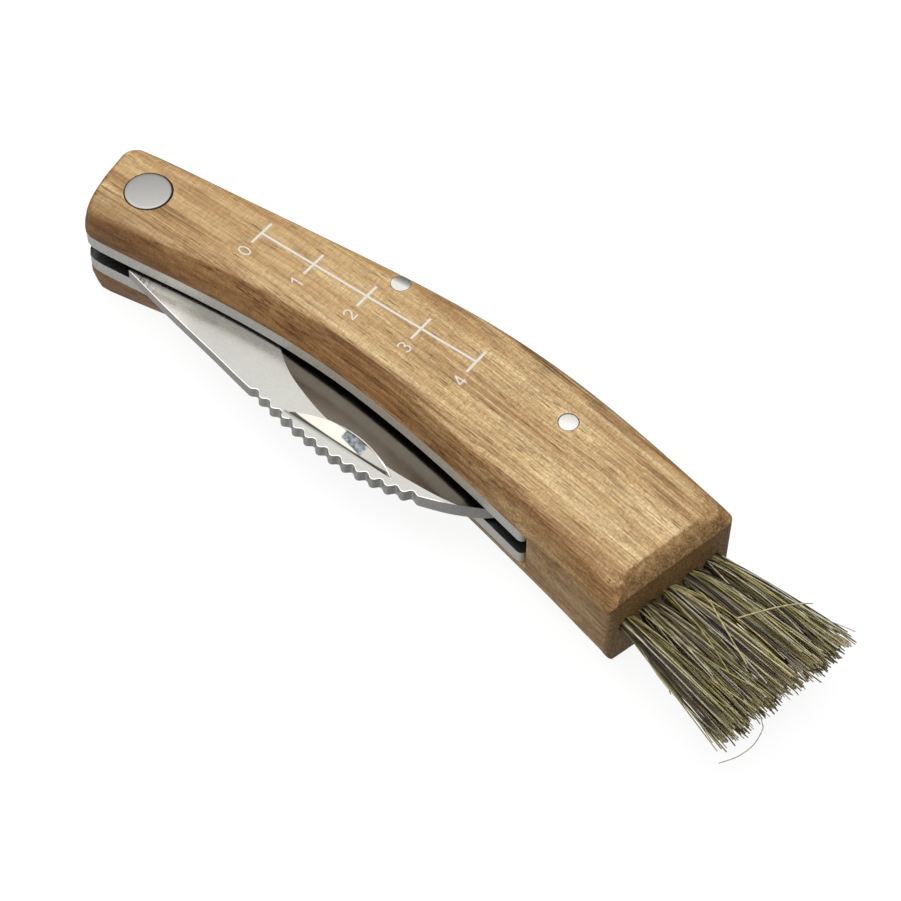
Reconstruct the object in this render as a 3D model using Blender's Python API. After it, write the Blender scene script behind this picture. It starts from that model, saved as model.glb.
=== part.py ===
"""Folding mushroom knife with a wooden handle and a bristle brush in its butt.

The knife lies on its side, folded. +X runs from the pivot end to the brush, +Y from the belly
(where the blade folds in) to the back, +Z up through the thickness. The origin is under the
middle of the whole object, on the face that it lies on. All dimensions are in millimetres in the
handle's own drawing plane (u, v), and are brought to metres and to the origin at the end.
"""

import bmesh
import bpy
from math import atan2, ceil, cos, hypot, pi, radians, sin, sqrt
from mathutils import Matrix, Vector
from mathutils.geometry import delaunay_2d_cdt

MM = 0.001
U0, V0 = 18.776, -8.436  # the drawing plane's point that lies over the origin

# Handle
THICK = 18.0  # over both wooden faces
CHEEK = 5.2  # wood on each side of the slot
SLOT_END = 42.5  # u of the slot's end wall, at v = -16
END_TILT = 13.0  # degrees that the butt and the slot's end lean, because the handle curves down
BUTT = 62.35  # distance of the butt's end face from the drawing origin, along its own normal
# Back and belly edges: (u, v) stations that a smooth curve runs through
BACK = ((-54, 1.85), (-40, 4.1), (-28, 5.3), (-16, 6.45), (-4, 7.55), (8, 8.4), (20, 8.6), (32, 7.75),
        (44, 5.9), (56, 3.35), (70, 0.2))
BELLY = ((-54, -14.2), (-44, -13.35), (-35, -12.5), (-26, -11.5), (-16, -10.7), (-6, -10.45), (4, -10.85),
         (16, -12.3), (28, -14.4), (40, -17.0), (52, -19.8), (68, -23.6))
FRONT = ((-42.2, -13.2), (-44.3, -12.75), (-45.9, -10.5), (-47.0, -7.2), (-47.9, -3.2), (-48.3, 0.4), (-48.15, 3.4))
# Width and depth of the hand-rounded edges, by u: the butt is crisper than the middle
BELLY_ROUND = ((-48, 2.4), (-40, 3.0), (-25, 4.6), (-8, 5.6), (14, 5.4), (30, 4.4), (44, 3.8), (56, 3.0), (64, 2.2))
BELLY_DEPTH = ((-48, 3.8), (-34, 4.3), (-8, 5.0), (34, 5.1), (50, 4.8), (58, 3.6), (64, 2.4))
BACK_ROUND = ((-48, 2.4), (-36, 3.2), (30, 3.4), (48, 3.3), (64, 3.0))
BACK_DEPTH = ((-48, 3.6), (-36, 3.5), (-20, 3.2), (30, 3.4), (48, 3.3), (64, 3.0))
FRONT_ROUND, FRONT_DEPTH = 2.3, 3.9
BUTT_ROUND, BUTT_DEPTH, BUTT_LOW = 2.8, 2.2, 1.4
# Corners in plan at mid-height; towards the flat faces they open up by the last value
BELLY_CORNER, BACK_CORNER, NOSE_CORNER, CORNER_OPEN = 1.2, 1.9, 1.7, 1.6
FRAME_CORNER = 1.0

# The steel frame between the cheeks, from the lower cheek up
LINER = 2.3
GAP = 0.05  # between faces that lie on each other
SPACE = 2.9  # between the liners
BLADE_T = 1.85
WASHER_T = 0.3
LINER_END = 41.45

# Pins and the pivot
PIVOT = (-38.84, -4.0)
MID_PIN = (2.6, 4.95)
END_PIN = (37.0, -0.75)
PIN_R = 1.5
HEAD_R, HEAD_T = 3.65, 1.1
BARREL_R, SHANK_R = 2.5, 1.5
FIT = 0.05  # radial clearance of a pin in its hole

# Blade, folded
SPINE = ((-36.0, -12.9), (-26.0, -15.15), (-16.0, -17.15), (-6.0, -19.25), (4.0, -20.95), (12.0, -21.5),
         (20.0, -20.75), (28.0, -18.4), (33.5, -15.6), (37.0, -12.9))
EDGE = ((37.0, -12.9), (31.0, -11.0), (22.0, -9.2), (10.0, -7.3), (-4.0, -5.3), (-18.0, -3.6), (-30.0, -2.4))
# Where the flat of the blade ends and the hollow grind begins, from where the line leaves the back to the edge
GRIND = ((26.7, -17.55), (23.0, -17.8), (19.0, -17.9), (15.0, -17.7), (10.0, -17.1), (4.6, -16.25), (-1.0, -14.5),
         (-4.8, -12.8), (-8.1, -10.5), (-12.2, -7.2))
GRIND_HEEL = -16.5  # u at which the sharpened edge starts
EDGE_THICK = 0.18
TANG_R, TANG_FLAT = 5.7, 5.4
NOTCHES, NOTCH_FIRST, NOTCH_PITCH, NOTCH_DEEP = 13, -5.9, 2.45, 0.6
NICK_START, NICK_END, NICK_BULGE, NICK_DEPTH = (0.3, -18.9), (19.7, -19.2), 3.1, 0.65
OPEN_ANGLE = 180

# Brush
TUFTS, TUFT_PITCH, TUFT_R, TUFT_DEPTH, TUFT_LENGTH = 5, 3.95, 1.3, 10.0, 21.8
TUFT_SPREAD, TUFT_TIP_HALF, TUFT_TIP_Z = 4.85, 2.25, 3.6
TUFT_LEAN, TUFT_OFFSET = 3.8, -0.4  # degrees towards the back, and the row's shift along the butt
WIRE_R = 0.35

Z_LINER_LOW = CHEEK + GAP
Z_SPACE = Z_LINER_LOW + LINER
Z_MID = THICK / 2
Z_LINER_UP = THICK - CHEEK - GAP - LINER


def curve(stations, x):
    """Smooth value through (x, y) stations: a cubic with the slopes of the neighbouring chords."""
    n = len(stations)
    i = 0
    while i < n - 2 and x > stations[i + 1][0]:
        i += 1
    if stations[0][0] > stations[-1][0]:
        raise ValueError("stations run the wrong way")

    def slope(k):
        a, b = stations[max(k - 1, 0)], stations[min(k + 1, n - 1)]
        return (b[1] - a[1]) / (b[0] - a[0])

    (x0, y0), (x1, y1) = stations[i], stations[i + 1]
    h = x1 - x0
    t = min(max((x - x0) / h, 0.0), 1.0)
    m0, m1 = slope(i) * h, slope(i + 1) * h
    return (
        (2 * t**3 - 3 * t**2 + 1) * y0
        + (t**3 - 2 * t**2 + t) * m0
        + (-2 * t**3 + 3 * t**2) * y1
        + (t**3 - t**2) * m1
    )


def through(points, steps):
    """Points of a smooth curve through the given plane points, steps to each span."""
    out = []
    n = len(points)
    for i in range(n - 1):
        p0, p1, p2, p3 = (points[max(i - 1, 0)], points[i], points[i + 1], points[min(i + 2, n - 1)])
        for k in range(steps):
            t = k / steps
            out.append(
                tuple(
                    0.5
                    * (
                        2 * p1[c]
                        + (p2[c] - p0[c]) * t
                        + (2 * p0[c] - 5 * p1[c] + 4 * p2[c] - p3[c]) * t**2
                        + (3 * p1[c] - p0[c] - 3 * p2[c] + p3[c]) * t**3
                    )
                    for c in (0, 1)
                )
            )
    out.append(tuple(points[-1]))
    return out


def along(a, b, step):
    n = max(1, ceil(abs(b - a) / step))
    return [a + (b - a) * k / n for k in range(n + 1)]


def cross(p, d, q, e):
    """Where the line from p along d meets the line from q along e."""
    det = d[0] * -e[1] + e[0] * d[1]
    t = ((q[0] - p[0]) * -e[1] + e[0] * (q[1] - p[1])) / det
    return (p[0] + d[0] * t, p[1] + d[1] * t)


def rounded_corner(before, corner, after, radius, steps):
    """Arc of the radius between two straight runs that meet at the corner."""
    a = Vector(before) - Vector(corner)
    b = Vector(after) - Vector(corner)
    a.normalize()
    b.normalize()
    half = a.angle(b) / 2
    reach = radius / sin(half) * cos(half)
    centre = Vector(corner) + (a + b).normalized() * (radius / sin(half))
    start = Vector(corner) + a * reach - centre
    end = Vector(corner) + b * reach - centre
    turn = start.angle_signed(end)
    out = []
    for k in range(steps + 1):
        w = -turn * k / steps
        out.append((centre.x + start.x * cos(w) - start.y * sin(w), centre.y + start.x * sin(w) + start.y * cos(w)))
    return out, reach


BUTT_N = (cos(radians(END_TILT)), -sin(radians(END_TILT)))
BUTT_T = (sin(radians(END_TILT)), cos(radians(END_TILT)))


def back(u):
    return curve(BACK, u)


def belly(u):
    return curve(BELLY, u)


def end_line(distance_u, v=-16.0):
    """A line across the handle, square to its local run: (point, direction)."""
    return (distance_u, v), BUTT_T


def meet(edge, line):
    """Where the curved edge v = edge(u) meets a line across the handle."""
    p, d = line
    u = p[0]
    for _ in range(40):
        u = p[0] + d[0] / d[1] * (edge(u) - p[1])
    return (u, edge(u))


def frame_plan(step, corner_steps):
    """The steel frame seen from above, anticlockwise from the belly's front: closed list of points."""
    line = end_line(LINER_END)
    low, high = meet(belly, line), meet(back, line)
    arc_low, reach_low = rounded_corner((low[0] - 3, belly(low[0] - 3)), low, high, FRAME_CORNER, corner_steps)
    arc_high, reach_high = rounded_corner(low, high, (high[0] - 3, back(high[0] - 3)), FRAME_CORNER, corner_steps)
    nose = nose_points(0, 0)
    arc_nose, reach_nose = rounded_corner(*nose, NOSE_CORNER, corner_steps)
    out = [(u, belly(u)) for u in along(FRONT[0][0] + 0.8, low[0] - reach_low - 0.2, step)]
    out += arc_low + arc_high
    out += [(u, back(u)) for u in along(high[0] - reach_high - 0.2, nose[1][0] + reach_nose + 0.2, step)]
    out += arc_nose
    out += [p for p in reversed(through(FRONT, max(2, round(2.4 / step)))) if p[1] < arc_nose[-1][1] - 0.4][:-1]
    return out


def nose_points(inset, back_inset):
    """Back, corner and front end near the corner where the two meet, each moved inwards by its inset."""
    u = FRONT[-1][0]
    lean = (FRONT[-1][0] - FRONT[-2][0]) / (FRONT[-1][1] - FRONT[-2][1])
    corner = (u + inset, back(u + inset) - back_inset)
    return (
        (corner[0] + 4, back(u + inset + 4) - back_inset),
        corner,
        (corner[0] - 3 * lean, corner[1] - 3),
    )


def edge_round(n, u, low):
    """(width, depth) of the rounding of the low or the high face, where the inward normal is n."""
    side = curve(BELLY_ROUND, u) if n[1] > 0 else curve(BACK_ROUND, u)
    depth = curve(BELLY_DEPTH, u) if n[1] > 0 else curve(BACK_DEPTH, u)
    to_butt, to_front = max(0.0, -(n[0] * BUTT_N[0] + n[1] * BUTT_N[1])), max(0.0, n[0])
    w = to_butt**2
    width = side * (1 - w) + (BUTT_LOW if low else BUTT_ROUND) * w
    deep = depth * (1 - w) + (BUTT_LOW if low else BUTT_DEPTH) * w
    w = to_front**2
    return width * (1 - w) + FRONT_ROUND * w, deep * (1 - w) + FRONT_DEPTH * w


def side_point(edge, u, inward, share, low):
    """Point of the belly's or the back's edge, moved inwards by this share of its rounding: (point, depth)."""
    slope = (edge(u + 0.5) - edge(u - 0.5)) / 1.0
    long = hypot(1, slope)
    n = (-slope / long * inward, inward / long)
    width, depth = edge_round(n, u, low)
    return (u + n[0] * width * share, edge(u) + n[1] * width * share), depth


def body_ring(share, low, step, corner_steps):
    """Closed ring of (point, depth of the rounding there) at this share, 0 to 1, of the rounding's width."""
    opened = CORNER_OPEN * share
    line = ((BUTT_N[0] * BUTT, BUTT_N[1] * BUTT), BUTT_T)
    butt_inset = share * (BUTT_LOW if low else BUTT_ROUND)
    butt_depth = BUTT_LOW if low else BUTT_DEPTH
    moved = ((BUTT_N[0] * (BUTT - butt_inset), BUTT_N[1] * (BUTT - butt_inset)), BUTT_T)
    ends = []
    for edge, inward, radius in ((belly, 1, BELLY_CORNER), (back, -1, BACK_CORNER)):
        corner = meet(edge, line)
        stop = corner[0] - 7.0
        a, depth = side_point(edge, stop, inward, share, low)
        b, _ = side_point(edge, stop + 5, inward, share, low)
        sharp = cross(a, (b[0] - a[0], b[1] - a[1]), *moved)
        ends.append((stop, a, sharp, depth, radius + opened))
    (stop_low, side_low, low_x, low_d, low_r), (stop_high, side_high, high_x, high_d, high_r) = ends
    arc_low, _ = rounded_corner(side_low, low_x, high_x, low_r, corner_steps)
    arc_high, _ = rounded_corner(low_x, high_x, side_high, high_r, corner_steps)
    ring = [side_point(belly, u, 1, share, low) for u in along(FRONT[0][0] + 0.8, stop_low, step)]
    n = len(arc_low) - 1
    ring += [(p, low_d + (butt_depth - low_d) * k / n) for k, p in enumerate(arc_low)]
    a, b = arc_low[-1], arc_high[0]
    count = max(2, ceil(14 / step))
    ring += [((a[0] + (b[0] - a[0]) * k / count, a[1] + (b[1] - a[1]) * k / count), butt_depth) for k in range(1, count)]
    ring += [(p, butt_depth + (high_d - butt_depth) * k / n) for k, p in enumerate(arc_high)]
    ring += [side_point(back, u, -1, share, low) for u in along(stop_high, FRONT[-1][0] + 6.0, step)]
    nose = nose_points(share * FRONT_ROUND, share * curve(BACK_ROUND, -43.5))
    arc_nose, _ = rounded_corner(*nose, NOSE_CORNER + opened, corner_steps)
    ring += [(p, curve(BACK_DEPTH, -48) + (FRONT_DEPTH - curve(BACK_DEPTH, -48)) * k / n) for k, p in enumerate(arc_nose)]
    front = list(reversed(through(FRONT, max(2, round(2.4 / step)))))
    keep = [k for k, p in enumerate(front) if p[1] < -3.4 and 0 < k < len(front) - 1]
    for k in keep:
        (ax, ay), (bx, by) = front[k - 1], front[k + 1]
        long = hypot(bx - ax, by - ay)
        n_in = (-(by - ay) / long, (bx - ax) / long)
        width, depth = edge_round(n_in, front[k][0], low)
        ring.append(((front[k][0] + n_in[0] * width * share, front[k][1] + n_in[1] * width * share), depth))
    return ring


def normals_in(points):
    """Unit normals that point into an anticlockwise outline."""
    out = []
    n = len(points)
    for i in range(n):
        a, b = points[i - 1], points[(i + 1) % n]
        d = hypot(b[0] - a[0], b[1] - a[1])
        out.append((-(b[1] - a[1]) / d, (b[0] - a[0]) / d))
    return out


def new_object(name, bm, smooth=35.0):
    """The mesh, moved from the drawing plane to the object's own place, as a named object."""
    bmesh.ops.transform(bm, matrix=Matrix.Scale(MM, 4) @ Matrix.Translation((-U0, -V0, 0)), verts=bm.verts)
    bmesh.ops.recalc_face_normals(bm, faces=bm.faces)
    if bm.calc_volume(signed=True) < 0:
        bmesh.ops.reverse_faces(bm, faces=bm.faces)
    mesh = bpy.data.meshes.new(name)
    bm.to_mesh(mesh)
    bm.free()
    obj = bpy.data.objects.new(name, mesh)
    bpy.context.scene.collection.objects.link(obj)
    if smooth:
        mesh.shade_smooth()
        mesh.set_sharp_from_angle(angle=radians(smooth))
    return obj


def skin(bm, rings, close_ends=True):
    """Faces between rings of the same count, and flat caps on the first and the last."""
    made = [[bm.verts.new(p) for p in ring] for ring in rings]
    n = len(made[0])
    for a, b in zip(made, made[1:]):
        for i in range(n):
            j = (i + 1) % n
            bm.faces.new((a[i], a[j], b[j], b[i]))
    if close_ends:
        bm.faces.new(list(reversed(made[0])))
        bm.faces.new(made[-1])
    return made


def plate(name, outline, z0, z1, smooth=35.0):
    bm = bmesh.new()
    skin(bm, [[(u, v, z) for u, v in outline] for z in (z0, z1)])
    return new_object(name, bm, smooth)


def circle(centre, radius, count):
    return [(centre[0] + radius * cos(2 * pi * k / count), centre[1] + radius * sin(2 * pi * k / count)) for k in range(count)]


def turned(name, centre, profile, count=40, smooth=35.0):
    """A solid of revolution about a vertical axis: profile is (radius, z) from the axis out and back to it."""
    bm = bmesh.new()
    rings = []
    for r, z in profile:
        if r > 0:
            rings.append([(u, v, z) for u, v in circle(centre, r, count)])
    skin(bm, rings, close_ends=profile[0][0] == 0)
    if profile[0][0] > 0:
        bmesh.ops.bridge_loops(bm, edges=[e for e in bm.edges if e.is_boundary])
    return new_object(name, bm, smooth)


def flat_face(bm, verts):
    """Triangles over a flat outline of any shape."""
    points = [Vector((v.co.x, v.co.y)) for v in verts]
    made = delaunay_2d_cdt(points, [], [list(range(len(points)))], 1, 1e-5)
    for face in made[2]:
        bm.faces.new([verts[made[3][i][0]] for i in face])


def cutter(obj):
    obj.hide_render = True
    obj.display_type = "WIRE"
    return obj


def cut(obj, tool, operation="DIFFERENCE"):
    modifier = obj.modifiers.new(tool.name, "BOOLEAN")
    modifier.operation = operation
    modifier.solver = "EXACT"
    modifier.object = tool


def material(name, colour, roughness, metallic):
    made = bpy.data.materials.new(name)
    made.use_nodes = True
    shader = made.node_tree.nodes["Principled BSDF"]
    shader.inputs["Base Color"].default_value = (*colour, 1)
    shader.inputs["Roughness"].default_value = roughness
    shader.inputs["Metallic"].default_value = metallic
    made.diffuse_color = (*colour, 1)
    return made


def body(name, step, corner_steps, rounds):
    """The handle's outer form: its outline, with both edges rolled over into the flat faces."""
    rings = []
    angles = [pi / 2 * k / rounds for k in range(rounds, -1, -1)]
    for low in (True, False):
        for w in angles if low else reversed(angles):
            ring = body_ring(1 - cos(w), low, step, corner_steps)
            depth = [d for _, d in ring]
            # neighbouring depths are evened out so that the rolled edge has no kinks
            for _ in range(3):
                depth = [(depth[i - 1] + 2 * depth[i] + depth[(i + 1) % len(depth)]) / 4 for i in range(len(depth))]
            drop = [d * (1 - sin(w)) for d in depth]
            rings.append([(p[0], p[1], z if low else THICK - z) for (p, _), z in zip(ring, drop)])
    bm = bmesh.new()
    skin(bm, rings)
    return new_object(name, bm, 40)


def tuft_frame(i):
    """Root point on the butt's face and the unit directions along the tuft and across it."""
    offset = (i - (TUFTS - 1) / 2) * TUFT_PITCH + TUFT_OFFSET
    low, high = (meet(edge, ((BUTT_N[0] * BUTT, BUTT_N[1] * BUTT), BUTT_T)) for edge in (belly, back))
    middle = ((low[0] + high[0]) / 2, (low[1] + high[1]) / 2)
    root = Vector((middle[0] + BUTT_T[0] * offset, middle[1] + BUTT_T[1] * offset, Z_MID))
    return root, Vector((*BUTT_N, 0)), Vector((*BUTT_T, 0))


def rod(bm, start, direction, side, r_side, r_up, length, count=16):
    """An elliptical rod; the radii may be pairs for the two ends."""
    up = Vector((0, 0, 1))
    pair = lambda r: r if isinstance(r, tuple) else (r, r)
    rings = []
    for k in (0, 1):
        centre = start + direction * (length * k)
        a, b = pair(r_side)[k], pair(r_up)[k]
        rings.append([centre + side * (a * cos(2 * pi * i / count)) + up * (b * sin(2 * pi * i / count)) for i in range(count)])
    skin(bm, rings)


for obj in list(bpy.data.objects):
    bpy.data.objects.remove(obj, do_unlink=True)

WOOD = material("wood", (0.46, 0.28, 0.13), 0.55, 0.0)
STEEL = material("brushed_steel", (0.62, 0.61, 0.58), 0.32, 1.0)
LINER_STEEL = material("liner_steel", (0.5, 0.5, 0.48), 0.42, 1.0)
PIN_STEEL = material("pin_steel", (0.75, 0.75, 0.74), 0.22, 1.0)
SPRING_STEEL = material("spring_steel", (0.4, 0.4, 0.39), 0.35, 1.0)
BRONZE = material("bronze", (0.6, 0.4, 0.2), 0.35, 1.0)
BRISTLE = material("bristle", (0.36, 0.33, 0.2), 0.6, 0.0)
WIRE = material("wire", (0.55, 0.45, 0.28), 0.35, 1.0)

# ---- handle ----
handle = body("handle", 3.2, 5, 5)
handle.data.materials.append(WOOD)

slot_p, slot_d = end_line(SLOT_END)
far = [(slot_p[0] + slot_d[0] * s, slot_p[1] + slot_d[1] * s) for s in (-14, 34)]
slot_tool = cutter(plate("slot_tool", [(-70, -40), far[0], far[1], (-70, 30)], CHEEK, THICK - CHEEK, 0))
bm = bmesh.new()
skin(bm, [[(u, v, z) for u, v in circle(PIVOT, r, 48)] for r, z in (
    (HEAD_R + 0.15, -1), (HEAD_R + 0.15, HEAD_T + 0.25), (BARREL_R + 0.1, HEAD_T + 0.25),
    (BARREL_R + 0.1, THICK - HEAD_T - 0.25), (HEAD_R + 0.15, THICK - HEAD_T - 0.25), (HEAD_R + 0.15, THICK + 1))])
pivot_tool = cutter(new_object("pivot_tool", bm))
pin_tool = bmesh.new()
for centre in (MID_PIN, END_PIN):
    skin(pin_tool, [[(u, v, z) for u, v in circle(centre, PIN_R + FIT, 24)] for z in (-1, THICK + 1)])
pin_tool = cutter(new_object("pin_tool", pin_tool))
tuft_tool = bmesh.new()
for i in range(TUFTS):
    root, out, side = tuft_frame(i)
    rod(tuft_tool, root - out * TUFT_DEPTH, out, side, TUFT_R + 0.1, TUFT_R + 0.1, TUFT_DEPTH + 3, 20)
tuft_tool = cutter(new_object("tuft_tool", tuft_tool))
for tool in (slot_tool, pivot_tool, pin_tool, tuft_tool):
    cut(handle, tool)

# ---- liners ----
frame_outline = frame_plan(3.2, 4)
shrink = normals_in(frame_outline)
frame_outline = [(u + nu * 0.05, v + nv * 0.05) for (u, v), (nu, nv) in zip(frame_outline, shrink)]
liner_tool = bmesh.new()
skin(liner_tool, [[(u, v, z) for u, v in circle(PIVOT, BARREL_R + FIT, 40)] for z in (-1, THICK + 1)])
for centre in (MID_PIN, END_PIN):
    skin(liner_tool, [[(u, v, z) for u, v in circle(centre, PIN_R + FIT, 24)] for z in (-1, THICK + 1)])
liner_tool = cutter(new_object("liner_tool", liner_tool))
for name, z in (("lower_liner", Z_LINER_LOW), ("upper_liner", Z_LINER_UP)):
    liner = plate(name, frame_outline, z, z + LINER)
    liner.data.materials.append(LINER_STEEL)
    cut(liner, liner_tool)

# ---- backspring: runs along the back from the tang to the slot's end ----
SPRING_INNER = ((-41.4, PIVOT[1] + TANG_R + 0.05), (-32.0, PIVOT[1] + TANG_R + 0.05), (-24.0, 2.4), (-14.0, 3.2),
                (-6.0, 2.6), (2.6, 1.9), (11.0, 2.4), (20.0, 1.6), (28.0, -1.6), (34.0, -4.6), (41.2, -6.4))
rear = meet(back, end_line(LINER_END - 0.3))
rear_low = (rear[0] - BUTT_T[0] * 12.5, rear[1] - BUTT_T[1] * 12.5)
spring_outline = [(-41.35, back(-41.35) - 0.7), (-41.35, SPRING_INNER[0][1] + 0.3), (-41.0, SPRING_INNER[0][1])]
spring_outline += [(u, curve(SPRING_INNER, u)) for u in along(-39.6, rear_low[0] - 0.6, 3.0)]
spring_outline += [rear_low, (rear[0], rear[1] - 0.15)]
spring_outline += [(u, back(u) - 0.15) for u in along(rear[0] - 3, -40.8, 3.2)]
spring = plate("backspring", spring_outline, Z_SPACE + 0.08, Z_SPACE + SPACE - 0.08)
spring.data.materials.append(SPRING_STEEL)
spring_tool = bmesh.new()
for centre in (MID_PIN, END_PIN):
    skin(spring_tool, [[(u, v, z) for u, v in circle(centre, PIN_R + FIT, 24)] for z in (-1, THICK + 1)])
spring_tool = cutter(new_object("spring_tool", spring_tool))
cut(spring, spring_tool)

# ---- blade, with its origin on the pivot ----


def spine(u):
    return curve(SPINE, u)


EDGE_UP = tuple(reversed(EDGE))


def edge(u):
    return curve(EDGE_UP, u)


def spine_points(step):
    """The back of the blade from the shoulder to the point, with its row of scalloped thumb notches."""
    first, last = NOTCH_FIRST - NOTCH_PITCH / 2, NOTCH_FIRST + (NOTCHES - 0.5) * NOTCH_PITCH
    out = [(u, spine(u)) for u in along(SPINE[0][0], first, step)]
    for k in range(1, NOTCHES * 8):
        u = first + k * NOTCH_PITCH / 8
        slope = spine(u + 0.5) - spine(u - 0.5)
        long = sqrt(1 + slope * slope)
        deep = NOTCH_DEEP * (0.5 - 0.5 * cos(2 * pi * k / 8)) ** 0.75
        out.append((u - slope / long * deep, spine(u) + deep / long))
    out += [(u, spine(u)) for u in along(last, SPINE[-1][0], step)]
    return out


def blade_solid(step=2.6):
    """Outlines of one side: back, sharpened edge, the rest of the tang's side, and the grind line paired with the edge."""
    top = spine_points(step)
    tip = EDGE[0]
    heel = EDGE[-1]
    edge_line = [(u, edge(u)) for u in along(tip[0] - 1.2, GRIND_HEEL, step)]
    blunt = [(u, edge(u)) for u in along(GRIND_HEEL - 4.0, heel[0], 4.0)]
    # the tang: a disc with flats where the backspring bears, and the step that the spring's nose drops into
    tang = []
    pu, pv = PIVOT
    for a in range(38, 253, 8):
        w = radians(a)
        r = TANG_R
        for flat in (90, 180, 270):
            d = radians(a - flat)
            if abs(d) < pi / 2:
                r = min(r, TANG_FLAT / cos(d))
        tang.append((pu + r * cos(w), pv + r * sin(w)))
    floor = pv - TANG_FLAT
    shoulder = [(SPINE[0][0] - 0.9, floor), (SPINE[0][0] - 0.25, floor - 0.2), (SPINE[0][0], floor - 0.8)]
    choil = [(heel[0] - 0.5, heel[1] + 0.1), (heel[0] - 2.2, heel[1] + 0.9)]
    leave = min(top, key=lambda p: abs(p[0] - 29.6))
    line = through((leave, *GRIND, (GRIND_HEEL, edge(GRIND_HEEL))), 12)
    tail = [p for p in reversed(top[:-1]) if p[0] > leave[0] + 0.1]
    count = len(edge_line) - len(tail)
    ground = list(tail)
    for k in range(count):
        at = k / (count - 1) * (len(line) - 1)
        i = min(int(at), len(line) - 2)
        ground.append(tuple(line[i][c] + (line[i + 1][c] - line[i][c]) * (at - i) for c in (0, 1)))
    return top, edge_line, blunt + choil + tang + shoulder, ground, len(tail)


top, edge_line, rest_line, ground, tail_count = blade_solid()
bm = bmesh.new()
half = BLADE_T / 2
thin = EDGE_THICK / 2
sides = {}
for s in (1, -1):
    z = Z_MID + s * half
    flat = [bm.verts.new((u, v, z)) for u, v in top[: len(top) - 1 - tail_count]]
    tip_vert = bm.verts.new((*EDGE[0], Z_MID + s * thin))
    # past the grind line's start the back itself gets thinner towards the point
    tail = []
    for u, v in ground[:tail_count]:
        left = (EDGE[0][0] - u) / (EDGE[0][0] - top[len(top) - 2 - tail_count][0])
        tail.append(bm.verts.new((u, v, Z_MID + s * (thin + (half - thin) * left))))
    grind = [bm.verts.new((u, v, z)) for u, v in ground[tail_count + 1:-1]]
    heel_vert = bm.verts.new((*edge_line[-1], z))
    ring_rest = [bm.verts.new((u, v, z)) for u, v in rest_line]
    outer = tail + [flat[-1]] + grind
    sharp = [bm.verts.new((u, v, Z_MID + s * thin)) for u, v in edge_line[:-1]]
    # the hollow falls away faster beside the grind line than beside the edge
    hollow = [bm.verts.new(((g.co.x + e.co.x) / 2, (g.co.y + e.co.y) / 2, e.co.z + (g.co.z - e.co.z) * 0.38)) for g, e in zip(outer, sharp)]
    flat_face(bm, flat + grind + [heel_vert] + ring_rest)
    faces = []
    for a, b in ((outer, hollow), (hollow, sharp)):
        faces.append([tip_vert, b[0], a[0]])
        for i in range(len(a) - 1):
            faces.append([a[i], b[i], b[i + 1], a[i + 1]])
        faces.append([a[-1], b[-1], heel_vert])
    for f in faces:
        bm.faces.new(f if s > 0 else list(reversed(f)))
    sides[s] = flat + list(reversed(tail)) + [tip_vert] + sharp + [heel_vert] + ring_rest
n = len(sides[1])
for i in range(n):
    j = (i + 1) % n
    bm.faces.new((sides[-1][i], sides[-1][j], sides[1][j], sides[1][i]))
blade = new_object("blade", bm, 30)
blade.data.materials.append(STEEL)
pivot_at = Vector(((PIVOT[0] - U0) * MM, (PIVOT[1] - V0) * MM, Z_MID * MM))
blade.data.transform(Matrix.Translation(-pivot_at))
blade.location = pivot_at

bore_bm = bmesh.new()
skin(bore_bm, [[(u, v, z) for u, v in circle(PIVOT, BARREL_R + FIT, 40)] for z in (-1, THICK + 1)])
blade_bore = cutter(new_object("blade_bore", bore_bm))
cut(blade, blade_bore)

# thumbnail nick: a crescent, deepest along its straight side near the back of the blade
nick = bmesh.new()
a, b = Vector((*NICK_START, 0)), Vector((*NICK_END, 0))
run = (b - a).normalized()
inward = Vector((-run.y, run.x, 0))
face_z = Z_MID + half
count = 18
straight, bulge = [], []
for k in range(count + 1):
    t = k / count
    p = a.lerp(b, t)
    straight.append(p)
    bulge.append(p + inward * (NICK_BULGE * sin(pi * t) ** 0.8))
rows = []
over = 0.06  # the cutter stands this far over the face
for k in range(1, count):
    p, q = straight[k], bulge[k]
    d = NICK_DEPTH * sin(pi * k / count) ** 0.5
    deep = p + inward * (0.25 * d)
    far_side = q + (q - deep) * (over / d)
    rows.append([
        nick.verts.new((p.x, p.y, face_z + over)),
        nick.verts.new((deep.x, deep.y, face_z - d)),
        nick.verts.new((far_side.x, far_side.y, face_z + over)),
    ])
for r, s in zip(rows, rows[1:]):
    for i in range(3):
        j = (i + 1) % 3
        nick.faces.new((r[i], r[j], s[j], s[i]))
for r, p in ((rows[0], a), (rows[-1], b)):
    end = nick.verts.new((p.x, p.y, face_z + over))
    for i in range(3):
        nick.faces.new((r[i], r[(i + 1) % 3], end))
bmesh.ops.triangulate(nick, faces=nick.faces)
nick = cutter(new_object("nick_tool", nick))
cut(blade, nick)

# ---- pivot rivet in two halves, washers ----
head_top = THICK + 0.1
female = turned("pivot_rivet_barrel", PIVOT, [
    (0, head_top), (HEAD_R - 0.5, head_top), (HEAD_R - 0.15, head_top - 0.07), (HEAD_R, head_top - 0.28),
    (HEAD_R, THICK - HEAD_T - 0.1), (BARREL_R, THICK - HEAD_T - 0.1), (BARREL_R, 2.2), (SHANK_R + FIT, 2.2),
    (SHANK_R + FIT, THICK - HEAD_T - 3.0), (0, THICK - HEAD_T - 3.0)], 40)
female.data.materials.append(PIN_STEEL)
male = turned("pivot_rivet_pin", PIVOT, [
    (0, 0.08), (HEAD_R - 0.5, 0.08), (HEAD_R - 0.15, 0.15), (HEAD_R, 0.36), (HEAD_R, HEAD_T + 0.1), (SHANK_R, HEAD_T + 0.1),
    (SHANK_R, THICK - HEAD_T - 4.2), (SHANK_R - 0.35, THICK - HEAD_T - 3.8), (0, THICK - HEAD_T - 3.8)], 40)
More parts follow.
